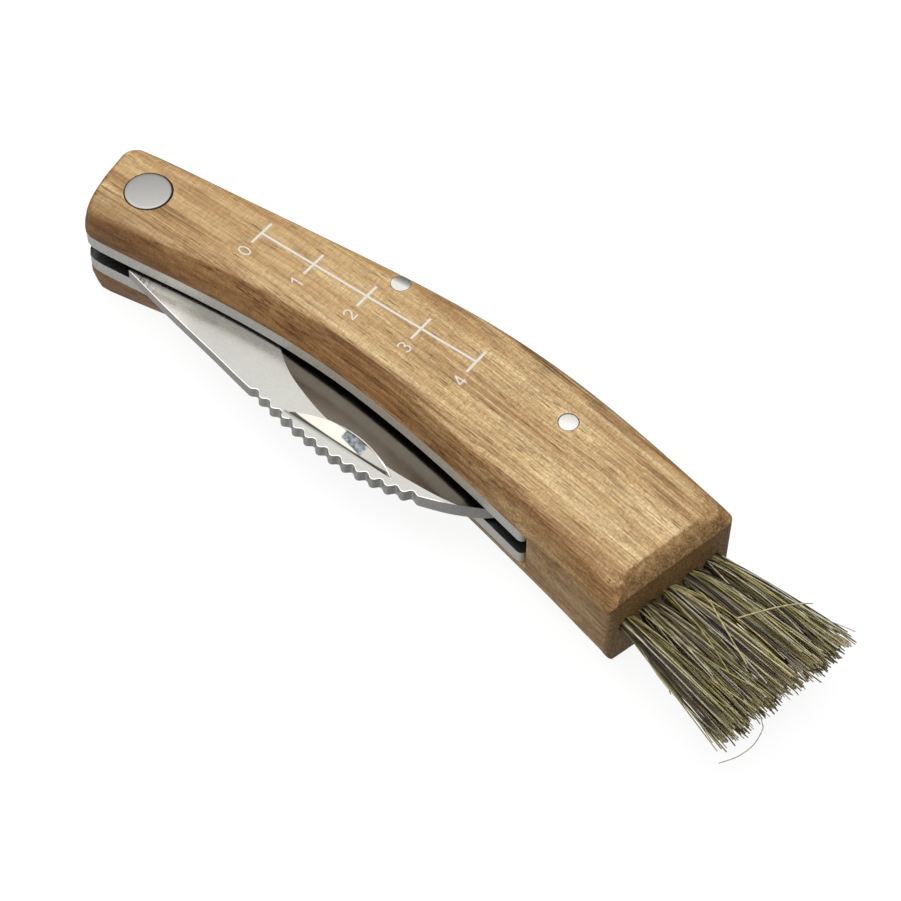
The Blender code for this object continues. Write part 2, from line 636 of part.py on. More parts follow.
male.data.materials.append(PIN_STEEL)
for name, z in (("lower_washer", Z_SPACE + 0.05), ("upper_washer", Z_SPACE + SPACE - 0.05 - WASHER_T)):
    washer = turned(name, PIVOT, [(BARREL_R + 0.1, z), (5.0, z), (5.0, z + WASHER_T), (BARREL_R + 0.1, z + WASHER_T)], 40)
    washer.data.materials.append(BRONZE)

# ---- frame pins, ground flush with the wood ----
form = cutter(body("form_tool", 3.2, 5, 5))
for name, centre in (("mid_pin", MID_PIN), ("end_pin", END_PIN)):
    pin = turned(name, centre, [(0, 0.03), (PIN_R, 0.03), (PIN_R, THICK - 0.03), (0, THICK - 0.03)], 24)
    pin.data.materials.append(PIN_STEEL)
    if name == "mid_pin":
        cut(pin, form, "INTERSECT")

# ---- brush: bundles of bristle folded over wire staples, driven into blind holes ----
for i in range(TUFTS):
    root, out, side = tuft_frame(i)
    k = i - (TUFTS - 1) / 2
    lean = radians(TUFT_LEAN)
    centre_way = out * cos(lean) + side * sin(lean)
    tip = root + centre_way * TUFT_LENGTH + side * (k * (TUFT_SPREAD - TUFT_PITCH))
    up = Vector((0, 0, 1))
    rings = []
    stages = ((-TUFT_DEPTH + 1.5, TUFT_R, TUFT_R), (-0.2, TUFT_R, TUFT_R), (0.3, TUFT_R + 0.05, TUFT_R + 0.1),
              (3.2, 1.72, 1.95), (TUFT_LENGTH * 0.5, 2.0, 2.75), (TUFT_LENGTH, TUFT_TIP_HALF, TUFT_TIP_Z))
    for s, a, b in stages:
        if s <= 0.3:
            centre = root + out * s
        else:
            f = s / TUFT_LENGTH
            centre = root.lerp(tip, f)
        rings.append([centre + side * (a * cos(2 * pi * j / 16)) + up * (b * sin(2 * pi * j / 16)) for j in range(16)])
    bm = bmesh.new()
    skin(bm, rings)
    tuft = new_object(f"tuft_{i + 1}", bm, 40)
    tuft.data.materials.append(BRISTLE)
    bm = bmesh.new()
    rod(bm, root + out * (-TUFT_DEPTH + 0.75) + side * -(TUFT_R - 0.15), side, out, WIRE_R, WIRE_R, 2 * (TUFT_R - 0.15), 8)
    staple = new_object(f"staple_{i + 1}", bm, 40)
    staple.data.materials.append(WIRE)
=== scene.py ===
"""Looks of a folding mushroom knife with a wooden handle and a bristle brush, around its CAD frame.

Lengths are worked out in millimetres in the handle's own drawing plane (u, v), with z from the face that
the knife lies on, and are brought to metres and to the row frame when a mesh is made.
"""

import random
from math import acos, atan2, ceil, cos, hypot, pi, radians, sin, sqrt

import bmesh
import bpy
from mathutils import Matrix, Vector
from mathutils.geometry import delaunay_2d_cdt


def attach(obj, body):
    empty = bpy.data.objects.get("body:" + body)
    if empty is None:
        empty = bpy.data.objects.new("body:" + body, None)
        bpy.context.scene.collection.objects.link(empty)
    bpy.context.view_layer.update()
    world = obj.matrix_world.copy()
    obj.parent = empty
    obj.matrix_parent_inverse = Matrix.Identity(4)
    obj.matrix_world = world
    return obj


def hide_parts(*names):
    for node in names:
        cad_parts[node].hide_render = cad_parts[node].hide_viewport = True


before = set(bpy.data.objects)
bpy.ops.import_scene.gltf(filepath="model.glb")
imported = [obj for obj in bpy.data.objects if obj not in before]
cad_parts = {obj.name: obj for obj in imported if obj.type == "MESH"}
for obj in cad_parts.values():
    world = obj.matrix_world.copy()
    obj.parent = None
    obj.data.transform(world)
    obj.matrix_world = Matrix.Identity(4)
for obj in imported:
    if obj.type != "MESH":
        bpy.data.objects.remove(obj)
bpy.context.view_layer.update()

MM = 0.001
U0, V0 = 18.776, -8.436

# ---------------------------------------------------------------- camera
RIGHT, UP, BACK_WAY = Vector((0.7944, 0.6074, 0.0)), Vector((-0.4908, 0.6419, 0.5892)), Vector((0.3579, -0.4681, 0.8080))
camera = bpy.data.objects.new("camera", bpy.data.cameras.new("camera"))
bpy.context.scene.collection.objects.link(camera)
camera.data.lens = 99.889
camera.data.sensor_width = 36.0
camera.data.clip_start, camera.data.clip_end = 0.01, 20.0
camera.matrix_world = Matrix((
    (RIGHT.x, UP.x, BACK_WAY.x, 132.77 * MM),
    (RIGHT.y, UP.y, BACK_WAY.y, -169.46 * MM),
    (RIGHT.z, UP.z, BACK_WAY.z, 299.58 * MM),
    (0, 0, 0, 1),
))
bpy.context.scene.camera = camera
bpy.context.scene.view_settings.view_transform = "Standard"

# ---------------------------------------------------------------- dimensions, as in the CAD
THICK, CHEEK, SLOT_END, END_TILT, BUTT = 18.0, 5.2, 42.5, 13.0, 62.35
BACK = ((-54, 1.85), (-40, 4.1), (-28, 5.3), (-16, 6.45), (-4, 7.55), (8, 8.4), (20, 8.6), (32, 7.75),
        (44, 5.9), (56, 3.35), (70, 0.2))
BELLY = ((-54, -14.2), (-44, -13.35), (-35, -12.5), (-26, -11.5), (-16, -10.7), (-6, -10.45), (4, -10.85),
         (16, -12.3), (28, -14.4), (40, -17.0), (52, -19.8), (68, -23.6))
FRONT = ((-42.2, -13.2), (-44.3, -12.75), (-45.9, -10.5), (-47.0, -7.2), (-47.9, -3.2), (-48.3, 0.4), (-48.15, 3.4))
BELLY_ROUND = ((-48, 1.0), (-42, 1.4), (-35, 2.5), (-28, 3.7), (-20, 4.9), (-8, 5.6), (3, 6.0), (12, 5.3), (21, 4.2),
               (34, 3.7), (50, 3.6), (64, 3.3))
BELLY_DEPTH = ((-48, 3.8), (-34, 4.3), (-8, 5.0), (34, 5.1), (50, 4.8), (58, 3.6), (64, 2.4))
BACK_ROUND = ((-48, 2.4), (-36, 3.2), (30, 3.4), (48, 3.3), (64, 3.0))
BACK_DEPTH = ((-48, 3.6), (-36, 3.5), (-20, 3.2), (30, 3.4), (48, 3.3), (64, 3.0))
FRONT_ROUND, FRONT_DEPTH = 2.3, 3.9
BUTT_ROUND, BUTT_DEPTH, BUTT_LOW = 2.8, 2.2, 1.4
BELLY_CORNER, BACK_CORNER, NOSE_CORNER, CORNER_OPEN = 1.2, 1.9, 1.7, 1.6
PIVOT, MID_PIN, END_PIN = (-38.84, -4.0), (2.6, 4.95), (37.0, -0.75)
PIN_R, HEAD_R, HEAD_T, BARREL_R = 1.5, 3.65, 1.1, 2.5
Z_MID = THICK / 2
BLADE_T = 1.85
SPINE = ((-36.0, -12.9), (-26.0, -15.15), (-16.0, -17.15), (-6.0, -19.25), (4.0, -20.95), (12.0, -21.5),
         (20.0, -20.75), (28.0, -18.4), (33.5, -15.6), (37.0, -12.9))
EDGE = ((37.0, -12.9), (31.0, -11.0), (22.0, -9.2), (10.0, -7.3), (-4.0, -5.3), (-18.0, -3.6), (-30.0, -2.4))
GRIND = ((26.7, -17.55), (23.0, -17.8), (19.0, -17.9), (15.0, -17.7), (10.0, -17.1), (4.6, -16.25), (-1.0, -14.5),
         (-4.8, -12.8), (-8.1, -10.5), (-12.2, -7.2))
GRIND_HEEL = -16.5
EDGE_THICK = 0.18
BREAK, BREAK_DROP = 0.1, 0.031
TANG_R, TANG_FLAT = 5.7, 5.4
NOTCHES, NOTCH_FIRST, NOTCH_PITCH, NOTCH_DEEP = 13, -5.9, 2.45, 0.66
NICK_START, NICK_END, NICK_BULGE, NICK_DEPTH = (0.3, -18.9), (19.7, -19.2), 3.1, 0.65
TUFTS, TUFT_PITCH, TUFT_R, TUFT_DEPTH, TUFT_LENGTH = 5, 3.95, 1.3, 10.0, 21.8
TUFT_SPREAD, TUFT_TIP_HALF, TUFT_TIP_Z = 4.85, 2.25, 3.6
TUFT_LEAN, TUFT_OFFSET = 3.8, -0.4


def curve(stations, x):
    """Smooth value through (x, y) stations: a cubic with the slopes of the neighbouring chords."""
    n = len(stations)
    i = 0
    while i < n - 2 and x > stations[i + 1][0]:
        i += 1

    def slope(k):
        a, b = stations[max(k - 1, 0)], stations[min(k + 1, n - 1)]
        return (b[1] - a[1]) / (b[0] - a[0])

    (x0, y0), (x1, y1) = stations[i], stations[i + 1]
    h = x1 - x0
    t = min(max((x - x0) / h, 0.0), 1.0)
    m0, m1 = slope(i) * h, slope(i + 1) * h
    return (2 * t**3 - 3 * t**2 + 1) * y0 + (t**3 - 2 * t**2 + t) * m0 + (-2 * t**3 + 3 * t**2) * y1 + (t**3 - t**2) * m1


def through(points, steps):
    """Points of a smooth curve through the given plane points, steps to each span."""
    out = []
    n = len(points)
    for i in range(n - 1):
        p0, p1, p2, p3 = (points[max(i - 1, 0)], points[i], points[i + 1], points[min(i + 2, n - 1)])
        for k in range(steps):
            t = k / steps
            out.append(tuple(
                0.5 * (2 * p1[c] + (p2[c] - p0[c]) * t + (2 * p0[c] - 5 * p1[c] + 4 * p2[c] - p3[c]) * t**2
                       + (3 * p1[c] - p0[c] - 3 * p2[c] + p3[c]) * t**3)
                for c in (0, 1)))
    out.append(tuple(points[-1]))
    return out


def along(a, b, step):
    n = max(1, ceil(abs(b - a) / step))
    return [a + (b - a) * k / n for k in range(n + 1)]


def cross(p, d, q, e):
    """Where the line from p along d meets the line from q along e."""
    det = d[0] * -e[1] + e[0] * d[1]
    t = ((q[0] - p[0]) * -e[1] + e[0] * (q[1] - p[1])) / det
    return (p[0] + d[0] * t, p[1] + d[1] * t)


def rounded_corner(before, corner, after, radius, steps):
    """Arc of the radius between two straight runs that meet at the corner."""
    a = Vector(before) - Vector(corner)
    b = Vector(after) - Vector(corner)
    a.normalize()
    b.normalize()
    half = a.angle(b) / 2
    reach = radius / sin(half) * cos(half)
    centre = Vector(corner) + (a + b).normalized() * (radius / sin(half))
    start = Vector(corner) + a * reach - centre
    end = Vector(corner) + b * reach - centre
    turn = start.angle_signed(end)
    out = []
    for k in range(steps + 1):
        w = -turn * k / steps
        out.append((centre.x + start.x * cos(w) - start.y * sin(w), centre.y + start.x * sin(w) + start.y * cos(w)))
    return out, reach


BUTT_N = (cos(radians(END_TILT)), -sin(radians(END_TILT)))
BUTT_T = (sin(radians(END_TILT)), cos(radians(END_TILT)))


def back(u):
    return curve(BACK, u)


def belly(u):
    return curve(BELLY, u)


def meet(edge_of, line):
    """Where the curved edge v = edge_of(u) meets a line across the handle."""
    p, d = line
    u = p[0]
    for _ in range(40):
        u = p[0] + d[0] / d[1] * (edge_of(u) - p[1])
    return (u, edge_of(u))


def nose_points(inset, back_inset):
    """Back, corner and front end near the corner where the two meet, each moved inwards by its inset."""
    u = FRONT[-1][0]
    lean = (FRONT[-1][0] - FRONT[-2][0]) / (FRONT[-1][1] - FRONT[-2][1])
    corner = (u + inset, back(u + inset) - back_inset)
    return (corner[0] + 4, back(u + inset + 4) - back_inset), corner, (corner[0] - 3 * lean, corner[1] - 3)


def edge_round(n, u, low):
    """(width, depth) of the rounding of the low or the high face, where the inward normal is n."""
    side = curve(BELLY_ROUND, u) if n[1] > 0 else curve(BACK_ROUND, u)
    depth = curve(BELLY_DEPTH, u) if n[1] > 0 else curve(BACK_DEPTH, u)
    to_butt, to_front = max(0.0, -(n[0] * BUTT_N[0] + n[1] * BUTT_N[1])), max(0.0, n[0])
    w = to_butt**2
    width = side * (1 - w) + (BUTT_LOW if low else BUTT_ROUND) * w
    deep = depth * (1 - w) + (BUTT_LOW if low else BUTT_DEPTH) * w
    w = to_front**2
    return width * (1 - w) + FRONT_ROUND * w, deep * (1 - w) + FRONT_DEPTH * w


def side_point(edge_of, u, inward, share, low):
    """Point of the belly's or the back's edge, moved inwards by this share of its rounding: (point, depth)."""
    slope = edge_of(u + 0.5) - edge_of(u - 0.5)
    long = hypot(1, slope)
    n = (-slope / long * inward, inward / long)
    width, depth = edge_round(n, u, low)
    return (u + n[0] * width * share, edge_of(u) + n[1] * width * share), depth


def body_ring(share, low, step, corner_steps):
    """Closed ring at this share, 0 to 1, of the rounding's width: (point, depth of the rounding there, how much it is butt)."""
    opened = CORNER_OPEN * share
    line = ((BUTT_N[0] * BUTT, BUTT_N[1] * BUTT), BUTT_T)
    butt_inset = share * (BUTT_LOW if low else BUTT_ROUND)
    butt_depth = BUTT_LOW if low else BUTT_DEPTH
    moved = ((BUTT_N[0] * (BUTT - butt_inset), BUTT_N[1] * (BUTT - butt_inset)), BUTT_T)
    ends = []
    for edge_of, inward, radius in ((belly, 1, BELLY_CORNER), (back, -1, BACK_CORNER)):
        corner = meet(edge_of, line)
        stop = corner[0] - 7.0
        a, depth = side_point(edge_of, stop, inward, share, low)
        b, _ = side_point(edge_of, stop + 5, inward, share, low)
        sharp = cross(a, (b[0] - a[0], b[1] - a[1]), *moved)
        ends.append((stop, a, sharp, depth, radius + opened))
    (stop_low, side_low, low_x, low_d, low_r), (stop_high, side_high, high_x, high_d, high_r) = ends
    arc_low, _ = rounded_corner(side_low, low_x, high_x, low_r, corner_steps)
    arc_high, _ = rounded_corner(low_x, high_x, side_high, high_r, corner_steps)
    ring = [(*side_point(belly, u, 1, share, low), 0.0) for u in along(FRONT[0][0] + 0.8, stop_low, step)]
    n = len(arc_low) - 1
    ring += [(p, low_d + (butt_depth - low_d) * k / n, k / n) for k, p in enumerate(arc_low)]
    a, b = arc_low[-1], arc_high[0]
    count = max(2, ceil(14 / step))
    ring += [((a[0] + (b[0] - a[0]) * k / count, a[1] + (b[1] - a[1]) * k / count), butt_depth, 1.0) for k in range(1, count)]
    ring += [(p, butt_depth + (high_d - butt_depth) * k / n, 1 - k / n) for k, p in enumerate(arc_high)]
    ring += [(*side_point(back, u, -1, share, low), 0.0) for u in along(stop_high, FRONT[-1][0] + 6.0, step)]
    nose = nose_points(share * FRONT_ROUND, share * curve(BACK_ROUND, -43.5))
    arc_nose, _ = rounded_corner(*nose, NOSE_CORNER + opened, corner_steps)
    ring += [(p, curve(BACK_DEPTH, -48) + (FRONT_DEPTH - curve(BACK_DEPTH, -48)) * k / n, 0.0) for k, p in enumerate(arc_nose)]
    front = list(reversed(through(FRONT, max(2, round(2.4 / step)))))
    for k, p in enumerate(front):
        if p[1] >= -3.4 or not 0 < k < len(front) - 1:
            continue
        (ax, ay), (bx, by) = front[k - 1], front[k + 1]
        long = hypot(bx - ax, by - ay)
        n_in = (-(by - ay) / long, (bx - ax) / long)
        width, depth = edge_round(n_in, p[0], low)
        ring.append(((p[0] + n_in[0] * width * share, p[1] + n_in[1] * width * share), depth, 0.0))
    return ring


def profile(share, ridge, drop, soft, bulge):
    """Drop, as a part of the depth, at this share of the width: a near flat facet, a soft ridge, and a gentle crown above it."""
    facet = lambda s: 1 - (1 - drop) * s / ridge - bulge * 4 * (s / ridge) * (1 - s / ridge)
    crown = lambda s: drop * ((1 - s) / (1 - ridge)) ** 2
    if share <= ridge - soft:
        return facet(share)
    if share >= ridge + soft:
        return crown(share)
    t = (share - ridge + soft) / (2 * soft)
    return (1 - t) ** 2 * facet(ridge - soft) + 2 * t * (1 - t) * drop + t * t * crown(ridge + soft)


# ---------------------------------------------------------------- meshes
def to_object(name, bm, smooth=35.0):
    """The mesh, moved from the drawing plane to the row frame, as a named object."""
    bmesh.ops.transform(bm, matrix=Matrix.Scale(MM, 4) @ Matrix.Translation((-U0, -V0, 0)), verts=bm.verts)
    bmesh.ops.recalc_face_normals(bm, faces=bm.faces)
    if bm.calc_volume(signed=True) < 0:
        bmesh.ops.reverse_faces(bm, faces=bm.faces)
    mesh = bpy.data.meshes.new(name)
    bm.to_mesh(mesh)
    bm.free()
    obj = bpy.data.objects.new(name, mesh)
    bpy.context.scene.collection.objects.link(obj)
    if smooth:
        mesh.shade_smooth()
        mesh.set_sharp_from_angle(angle=radians(smooth))
    return obj


def skin(bm, rings, close_ends=True):
    made = [[bm.verts.new(p) for p in ring] for ring in rings]
    n = len(made[0])
    for a, b in zip(made, made[1:]):
        for i in range(n):
            j = (i + 1) % n
            bm.faces.new((a[i], a[j], b[j], b[i]))
    if close_ends:
        bm.faces.new(list(reversed(made[0])))
        bm.faces.new(made[-1])
    return made


def circle(centre, radius, count):
    return [(centre[0] + radius * cos(2 * pi * k / count), centre[1] + radius * sin(2 * pi * k / count)) for k in range(count)]


def carve(obj, tools, smooth, crisp=False):
    """Cuts the tools out of obj for good, and evens the shading of flat faces beside rounded ones."""
    for tool in tools:
        modifier = obj.modifiers.new(tool.name, "BOOLEAN")
        modifier.operation, modifier.solver, modifier.object = "DIFFERENCE", "EXACT", tool
    depsgraph = bpy.context.evaluated_depsgraph_get()
    made = bpy.data.meshes.new_from_object(obj.evaluated_get(depsgraph))
    obj.modifiers.clear()
    obj.data = made
    for tool in tools:
        bpy.data.objects.remove(tool, do_unlink=True)
    settle(obj, smooth, crisp)
    return obj


def settle(obj, smooth, crisp=False):
    obj.data.shade_smooth()
    obj.data.set_sharp_from_angle(angle=radians(smooth))
    if crisp:
        crisp_flats(obj)
    modifier = obj.modifiers.new("weighted", "WEIGHTED_NORMAL")
    modifier.keep_sharp = True
    modifier.weight = 60
    depsgraph = bpy.context.evaluated_depsgraph_get()
    made = bpy.data.meshes.new_from_object(obj.evaluated_get(depsgraph))
    obj.modifiers.clear()
    obj.data = made


SHARES = (0.0, 0.08, 0.16, 0.24, 0.32, 0.40, 0.43, 0.45, 0.47, 0.50, 0.54, 0.58, 0.62, 0.66, 0.70, 0.74, 0.78, 0.82, 0.88, 0.94, 1.0)


def crisp_flats(obj):
    """Marks the line where a flat of the blade meets a ground face."""
    bm = bmesh.new()
    bm.from_mesh(obj.data)
    for e in bm.edges:
        if len(e.link_faces) == 2:
            a, b = (abs(f.normal.z) > 0.99995 for f in e.link_faces)
            if a != b:
                e.smooth = False
    bm.to_mesh(obj.data)
    bm.free()


def handle_form(step, corner_steps):
    rings = []
    for low in (True, False):
        for share in reversed(SHARES) if low else SHARES:
            ring = body_ring(share, low, step, corner_steps)
            depth = [d for _, d, _ in ring]
            blend = [w for _, _, w in ring]
            for _ in range(round(3 * (3.2 / step) ** 2)):
                depth = [(depth[i - 1] + 2 * depth[i] + depth[(i + 1) % len(depth)]) / 4 for i in range(len(depth))]
                blend = [(blend[i - 1] + 2 * blend[i] + blend[(i + 1) % len(blend)]) / 4 for i in range(len(blend))]
            side, butt = profile(share, 0.45, 0.15, 0.05, 0.05), profile(share, 0.70, 0.17, 0.12, 0.06)
            drop = [d * (side + (butt - side) * w) for d, w in zip(depth, blend)]
            rings.append([(p[0], p[1], z if low else THICK - z) for (p, _, _), z in zip(ring, drop)])
    bm = bmesh.new()
    skin(bm, rings)
    return to_object("wood_handle", bm, 20)


def tuft_frame(i):
    """Root point on the butt's face and the unit directions along the tuft and across it."""
    offset = (i - (TUFTS - 1) / 2) * TUFT_PITCH + TUFT_OFFSET
    low, high = (meet(edge_of, ((BUTT_N[0] * BUTT, BUTT_N[1] * BUTT), BUTT_T)) for edge_of in (belly, back))
    middle = ((low[0] + high[0]) / 2, (low[1] + high[1]) / 2)
    root = Vector((middle[0] + BUTT_T[0] * offset, middle[1] + BUTT_T[1] * offset, Z_MID))
    return root, Vector((*BUTT_N, 0)), Vector((*BUTT_T, 0))


def bar(points, z0, z1, name):
    bm = bmesh.new()
    skin(bm, [[(u, v, z) for u, v in points] for z in (z0, z1)])
    return to_object(name, bm, 0)


# ---- wooden handle
handle = handle_form(1.0, 10)
slot_p = (SLOT_END, -16.0)
far = [(slot_p[0] + BUTT_T[0] * s, slot_p[1] + BUTT_T[1] * s) for s in (-14, 34)]
tools = [bar([(-70, -40), far[0], far[1], (-70, 30)], CHEEK - 0.06, THICK - CHEEK + 0.06, "slot_tool")]
bm = bmesh.new()
HEAD_AT = (PIVOT[0] + 0.13, PIVOT[1] - 0.03)
skin(bm, [[(u, v, z) for u, v in circle(HEAD_AT, r, 72)] for r, z in (
    (HEAD_R + 0.15, -1), (HEAD_R + 0.15, HEAD_T + 0.3), (BARREL_R + 0.2, HEAD_T + 0.3),
    (BARREL_R + 0.2, THICK - HEAD_T - 0.3), (HEAD_R + 0.15, THICK - HEAD_T - 0.3), (HEAD_R + 0.15, THICK + 1))])
tools.append(to_object("pivot_tool", bm, 0))
bm = bmesh.new()
for centre in (MID_PIN, END_PIN):
    skin(bm, [[(u, v, z) for u, v in circle(centre, PIN_R + 0.06, 40)] for z in (-1, THICK + 1)])
tools.append(to_object("pin_tool", bm, 0))
bm = bmesh.new()
for i in range(TUFTS):
    root, out, side = tuft_frame(i)
    rings = []
    for s, r in ((-TUFT_DEPTH, TUFT_R + 0.1), (-0.35, TUFT_R + 0.1), (0.15, TUFT_R + 0.35), (3.0, TUFT_R + 0.35)):
        centre = root + out * s
        rings.append([centre + side * (r * cos(2 * pi * k / 24)) + Vector((0, 0, r * sin(2 * pi * k / 24))) for k in range(24)])
    skin(bm, rings)
tools.append(to_object("tuft_tool", bm, 0))
carve(handle, tools, 20)
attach(handle, "grip")
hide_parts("handle")


# ---- blade
def spine(u):
    return curve(SPINE, u)


def edge(u):
    return curve(tuple(reversed(EDGE)), u)


def make_blade():
    """The flats, the hollow grind in strips, the row of notches, and a narrow break along the back."""
    first, last = NOTCH_FIRST - NOTCH_PITCH / 2, NOTCH_FIRST + (NOTCHES - 0.5) * NOTCH_PITCH
    top = [(u, spine(u)) for u in along(SPINE[0][0], first, 0.9)]
    fine = 20
    for k in range(1, NOTCHES * fine):
        u = first + k * NOTCH_PITCH / fine
        slope = spine(u + 0.5) - spine(u - 0.5)
        long = sqrt(1 + slope * slope)
        aside = (k / fine % 1.0 - 0.5) * NOTCH_PITCH
        deep = NOTCH_DEEP * (0.5 + 0.5 * cos(2 * pi * aside / NOTCH_PITCH)) ** 1.15
        top.append((u - slope / long * deep, spine(u) + deep / long))
    top += [(u, spine(u)) for u in along(last, SPINE[-1][0], 0.9)]
    heel = EDGE[-1]
    blunt = [(u, edge(u)) for u in along(GRIND_HEEL - 1.5, heel[0], 1.5)]
    tang = []
    for a in range(38, 253, 4):
        w = radians(a)
        r = TANG_R
        for flat_at in (90, 180, 270):
            d = radians(a - flat_at)
            if abs(d) < pi / 2:
                r = min(r, TANG_FLAT / cos(d))
        tang.append((PIVOT[0] + r * cos(w), PIVOT[1] + r * sin(w)))
    floor_v = PIVOT[1] - TANG_FLAT
    shoulder = [(SPINE[0][0] - 0.9, floor_v), (SPINE[0][0] - 0.25, floor_v - 0.2), (SPINE[0][0], floor_v - 0.8)]
    choil = [(heel[0] - 0.5, heel[1] + 0.1), (heel[0] - 2.2, heel[1] + 0.9)]
    rest = blunt + choil + tang + shoulder
    leave = min(top, key=lambda p: abs(p[0] - 29.6))
    tail = [p for p in reversed(top[:-1]) if p[0] > leave[0] + 0.05]
    count = 70
    total = len(tail) + count
    sharp_line = [(u, edge(u)) for u in (EDGE[0][0] + (GRIND_HEEL - EDGE[0][0]) * (k + 1) / total for k in range(total))]
    half, thin = BLADE_T / 2, EDGE_THICK / 2
    strips = 9
    bm = bmesh.new()
    sides = {}
    draft = ((-36, 0.05), (-10, 0.1), (0, 0.28), (22, 0.3), (26, 0.42), (33, 0.42), (37, 0.0))

    def moved(p, s):
        """The back is ground a little out of square: its upper corner stands further in than its lower one."""
        shift = curve(draft, p[0]) if s > 0 else 0.0
        slope = spine(p[0] + 0.5) - spine(p[0] - 0.5)
        long = sqrt(1 + slope * slope)
        return (p[0] - slope / long * shift, p[1] + shift / long)

    def inset(run, k):
        """Point k of the back, moved into the steel by the width of the break along it."""
        (ax, ay), (bx, by) = run[max(k - 1, 0)], run[min(k + 1, len(run) - 1)]
        long = hypot(bx - ax, by - ay)
        return (run[k][0] - (by - ay) / long * BREAK, run[k][1] + (bx - ax) / long * BREAK)

    for s in (1, -1):
        line = through((moved(leave, s), *GRIND, (GRIND_HEEL, edge(GRIND_HEEL))), 16)
        ground = []
        for k in range(count):
            at = k / (count - 1) * (len(line) - 1)
            i = min(int(at), len(line) - 2)
            ground.append(tuple(line[i][c] + (line[i + 1][c] - line[i][c]) * (at - i) for c in (0, 1)))
        z = Z_MID + s * half
        run = top[: len(top) - 1 - len(tail)]
        broken = range(1, len(run) - 3)
        flat = [bm.verts.new((*moved(inset(run, k) if k in broken else p, s), z)) for k, p in enumerate(run)]
        low_row = [bm.verts.new((*moved(p, s), z - s * BREAK_DROP)) if k in broken else flat[k] for k, p in enumerate(run)]
        tip = bm.verts.new((*EDGE[0], Z_MID + s * thin))
        tail_verts = []
        for p in tail:
            left = min(1.0, 1.9 * (EDGE[0][0] - p[0]) / (EDGE[0][0] - leave[0]))
            tail_verts.append(bm.verts.new((*moved(p, s), Z_MID + s * (thin + (half - thin) * left))))
        grind = [bm.verts.new((u, v, z)) for u, v in ground[1:-1]]
        heel_vert = bm.verts.new((*sharp_line[-1], z))
        rest_verts = [bm.verts.new((u, v, z)) for u, v in rest]
        outer = tail_verts + [flat[-1]] + grind
        rows = [outer]
        for k in range(1, strips + 1):
            f = k / strips
            fall = 1 - (1 - f) ** 1.8
            rows.append([
                bm.verts.new((
                    g.co.x + (e[0] - g.co.x) * f, g.co.y + (e[1] - g.co.y) * f,
                    g.co.z + (Z_MID + s * thin - g.co.z) * fall))
                for g, e in zip(outer, sharp_line[:-1])])
        outline = flat + grind + [heel_vert] + rest_verts
        faces = []
        made = delaunay_2d_cdt([Vector((p.co.x, p.co.y)) for p in outline], [], [list(range(len(outline)))], 1, 1e-5)
        for face in made[2]:
            faces.append([outline[made[3][i][0]] for i in face])
        for a, b in zip(rows, rows[1:]):
            faces.append([tip, b[0], a[0]])
            for i in range(len(a) - 1):
                faces.append([a[i], b[i], b[i + 1], a[i + 1]])
            faces.append([a[-1], b[-1], heel_vert])
        for k in range(len(run) - 1):
            ring = [flat[k], flat[k + 1]] + [low_row[i] for i in (k + 1, k) if low_row[i] is not flat[i]]
            if len(ring) > 2:
                faces.append(ring)
        for f in faces:
            bm.faces.new(f)
        sides[s] = low_row + list(reversed(tail_verts)) + [tip] + rows[-1] + [heel_vert] + rest_verts
    n = len(sides[1])
    for i in range(n):
        j = (i + 1) % n
        bm.faces.new((sides[-1][i], sides[-1][j], sides[1][j], sides[1][i]))
    return to_object("steel_blade", bm, 25)


blade = make_blade()
bm = bmesh.new()
skin(bm, [[(u, v, z) for u, v in circle(PIVOT, BARREL_R + 0.05, 48)] for z in (-1, THICK + 1)])
blade_tools = [to_object("blade_bore", bm, 0)]
nick = bmesh.new()
a, b = Vector((*NICK_START, 0)), Vector((*NICK_END, 0))
run = (b - a).normalized()
inward = Vector((-run.y, run.x, 0))
face_z = Z_MID + BLADE_T / 2
count, over, cols = 48, 0.05, 7
rows = []
for k in range(1, count):
    p = a.lerp(b, k / count)
    q = p + inward * (NICK_BULGE * sin(pi * k / count) ** 0.8)
    d = 0.85 * NICK_DEPTH * sin(pi * k / count) ** 0.6
    deep = p + inward * min(1.05 * d, 0.3 * (q - p).length)
    row = [Vector((p.x, p.y, face_z + over))]
    # a short slope down from the straight side, then a shallow hollow that leaves the face along the arc
    for c in range(cols):
        f = c / (cols - 1)
        at = deep.lerp(q, f)
        row.append(Vector((at.x, at.y, face_z - d * (1 - f) * (1 + 0.3 * f))))
    end = row[-1] + (row[-1] - row[-2]).normalized() * 0.0
    slope = (row[-1] - row[-2])
    row[-1] = row[-1] + slope * (over / max(slope.z, 1e-3))
    rows.append([nick.verts.new(v) for v in row])
wide = len(rows[0])
for r, s in zip(rows, rows[1:]):
    for i in range(wide):
        j = (i + 1) % wide
        nick.faces.new((r[i], r[j], s[j], s[i]))
for r, p in ((rows[0], a), (rows[-1], b)):
    end = nick.verts.new((p.x, p.y, face_z + over))
    for i in range(wide):
        nick.faces.new((r[i], r[(i + 1) % wide], end))
blade_tools.append(to_object("nick_tool", nick, 0))
carve(blade, blade_tools, 22, crisp=True)
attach(blade, "blade")
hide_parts("blade")


# ---- rivet halves and the pin near the butt, with softly domed faces
def turned(name, centre, profile, count=72, smooth=35):
    bm = bmesh.new()
    rings = [[bm.verts.new((centre[0] + r * cos(2 * pi * k / count), centre[1] + r * sin(2 * pi * k / count), z)) for k in range(count)]
             for r, z in profile if r]
    for a, b in zip(rings, rings[1:]):
        for i in range(count):
            j = (i + 1) % count
            bm.faces.new((a[i], a[j], b[j], b[i]))
    for ring, (_, z) in ((rings[0], profile[0]), (rings[-1], profile[-1])):
        middle = bm.verts.new((*centre, z))
        for i in range(count):
            bm.faces.new((ring[i], ring[(i + 1) % count], middle))
    return to_object(name, bm, smooth)


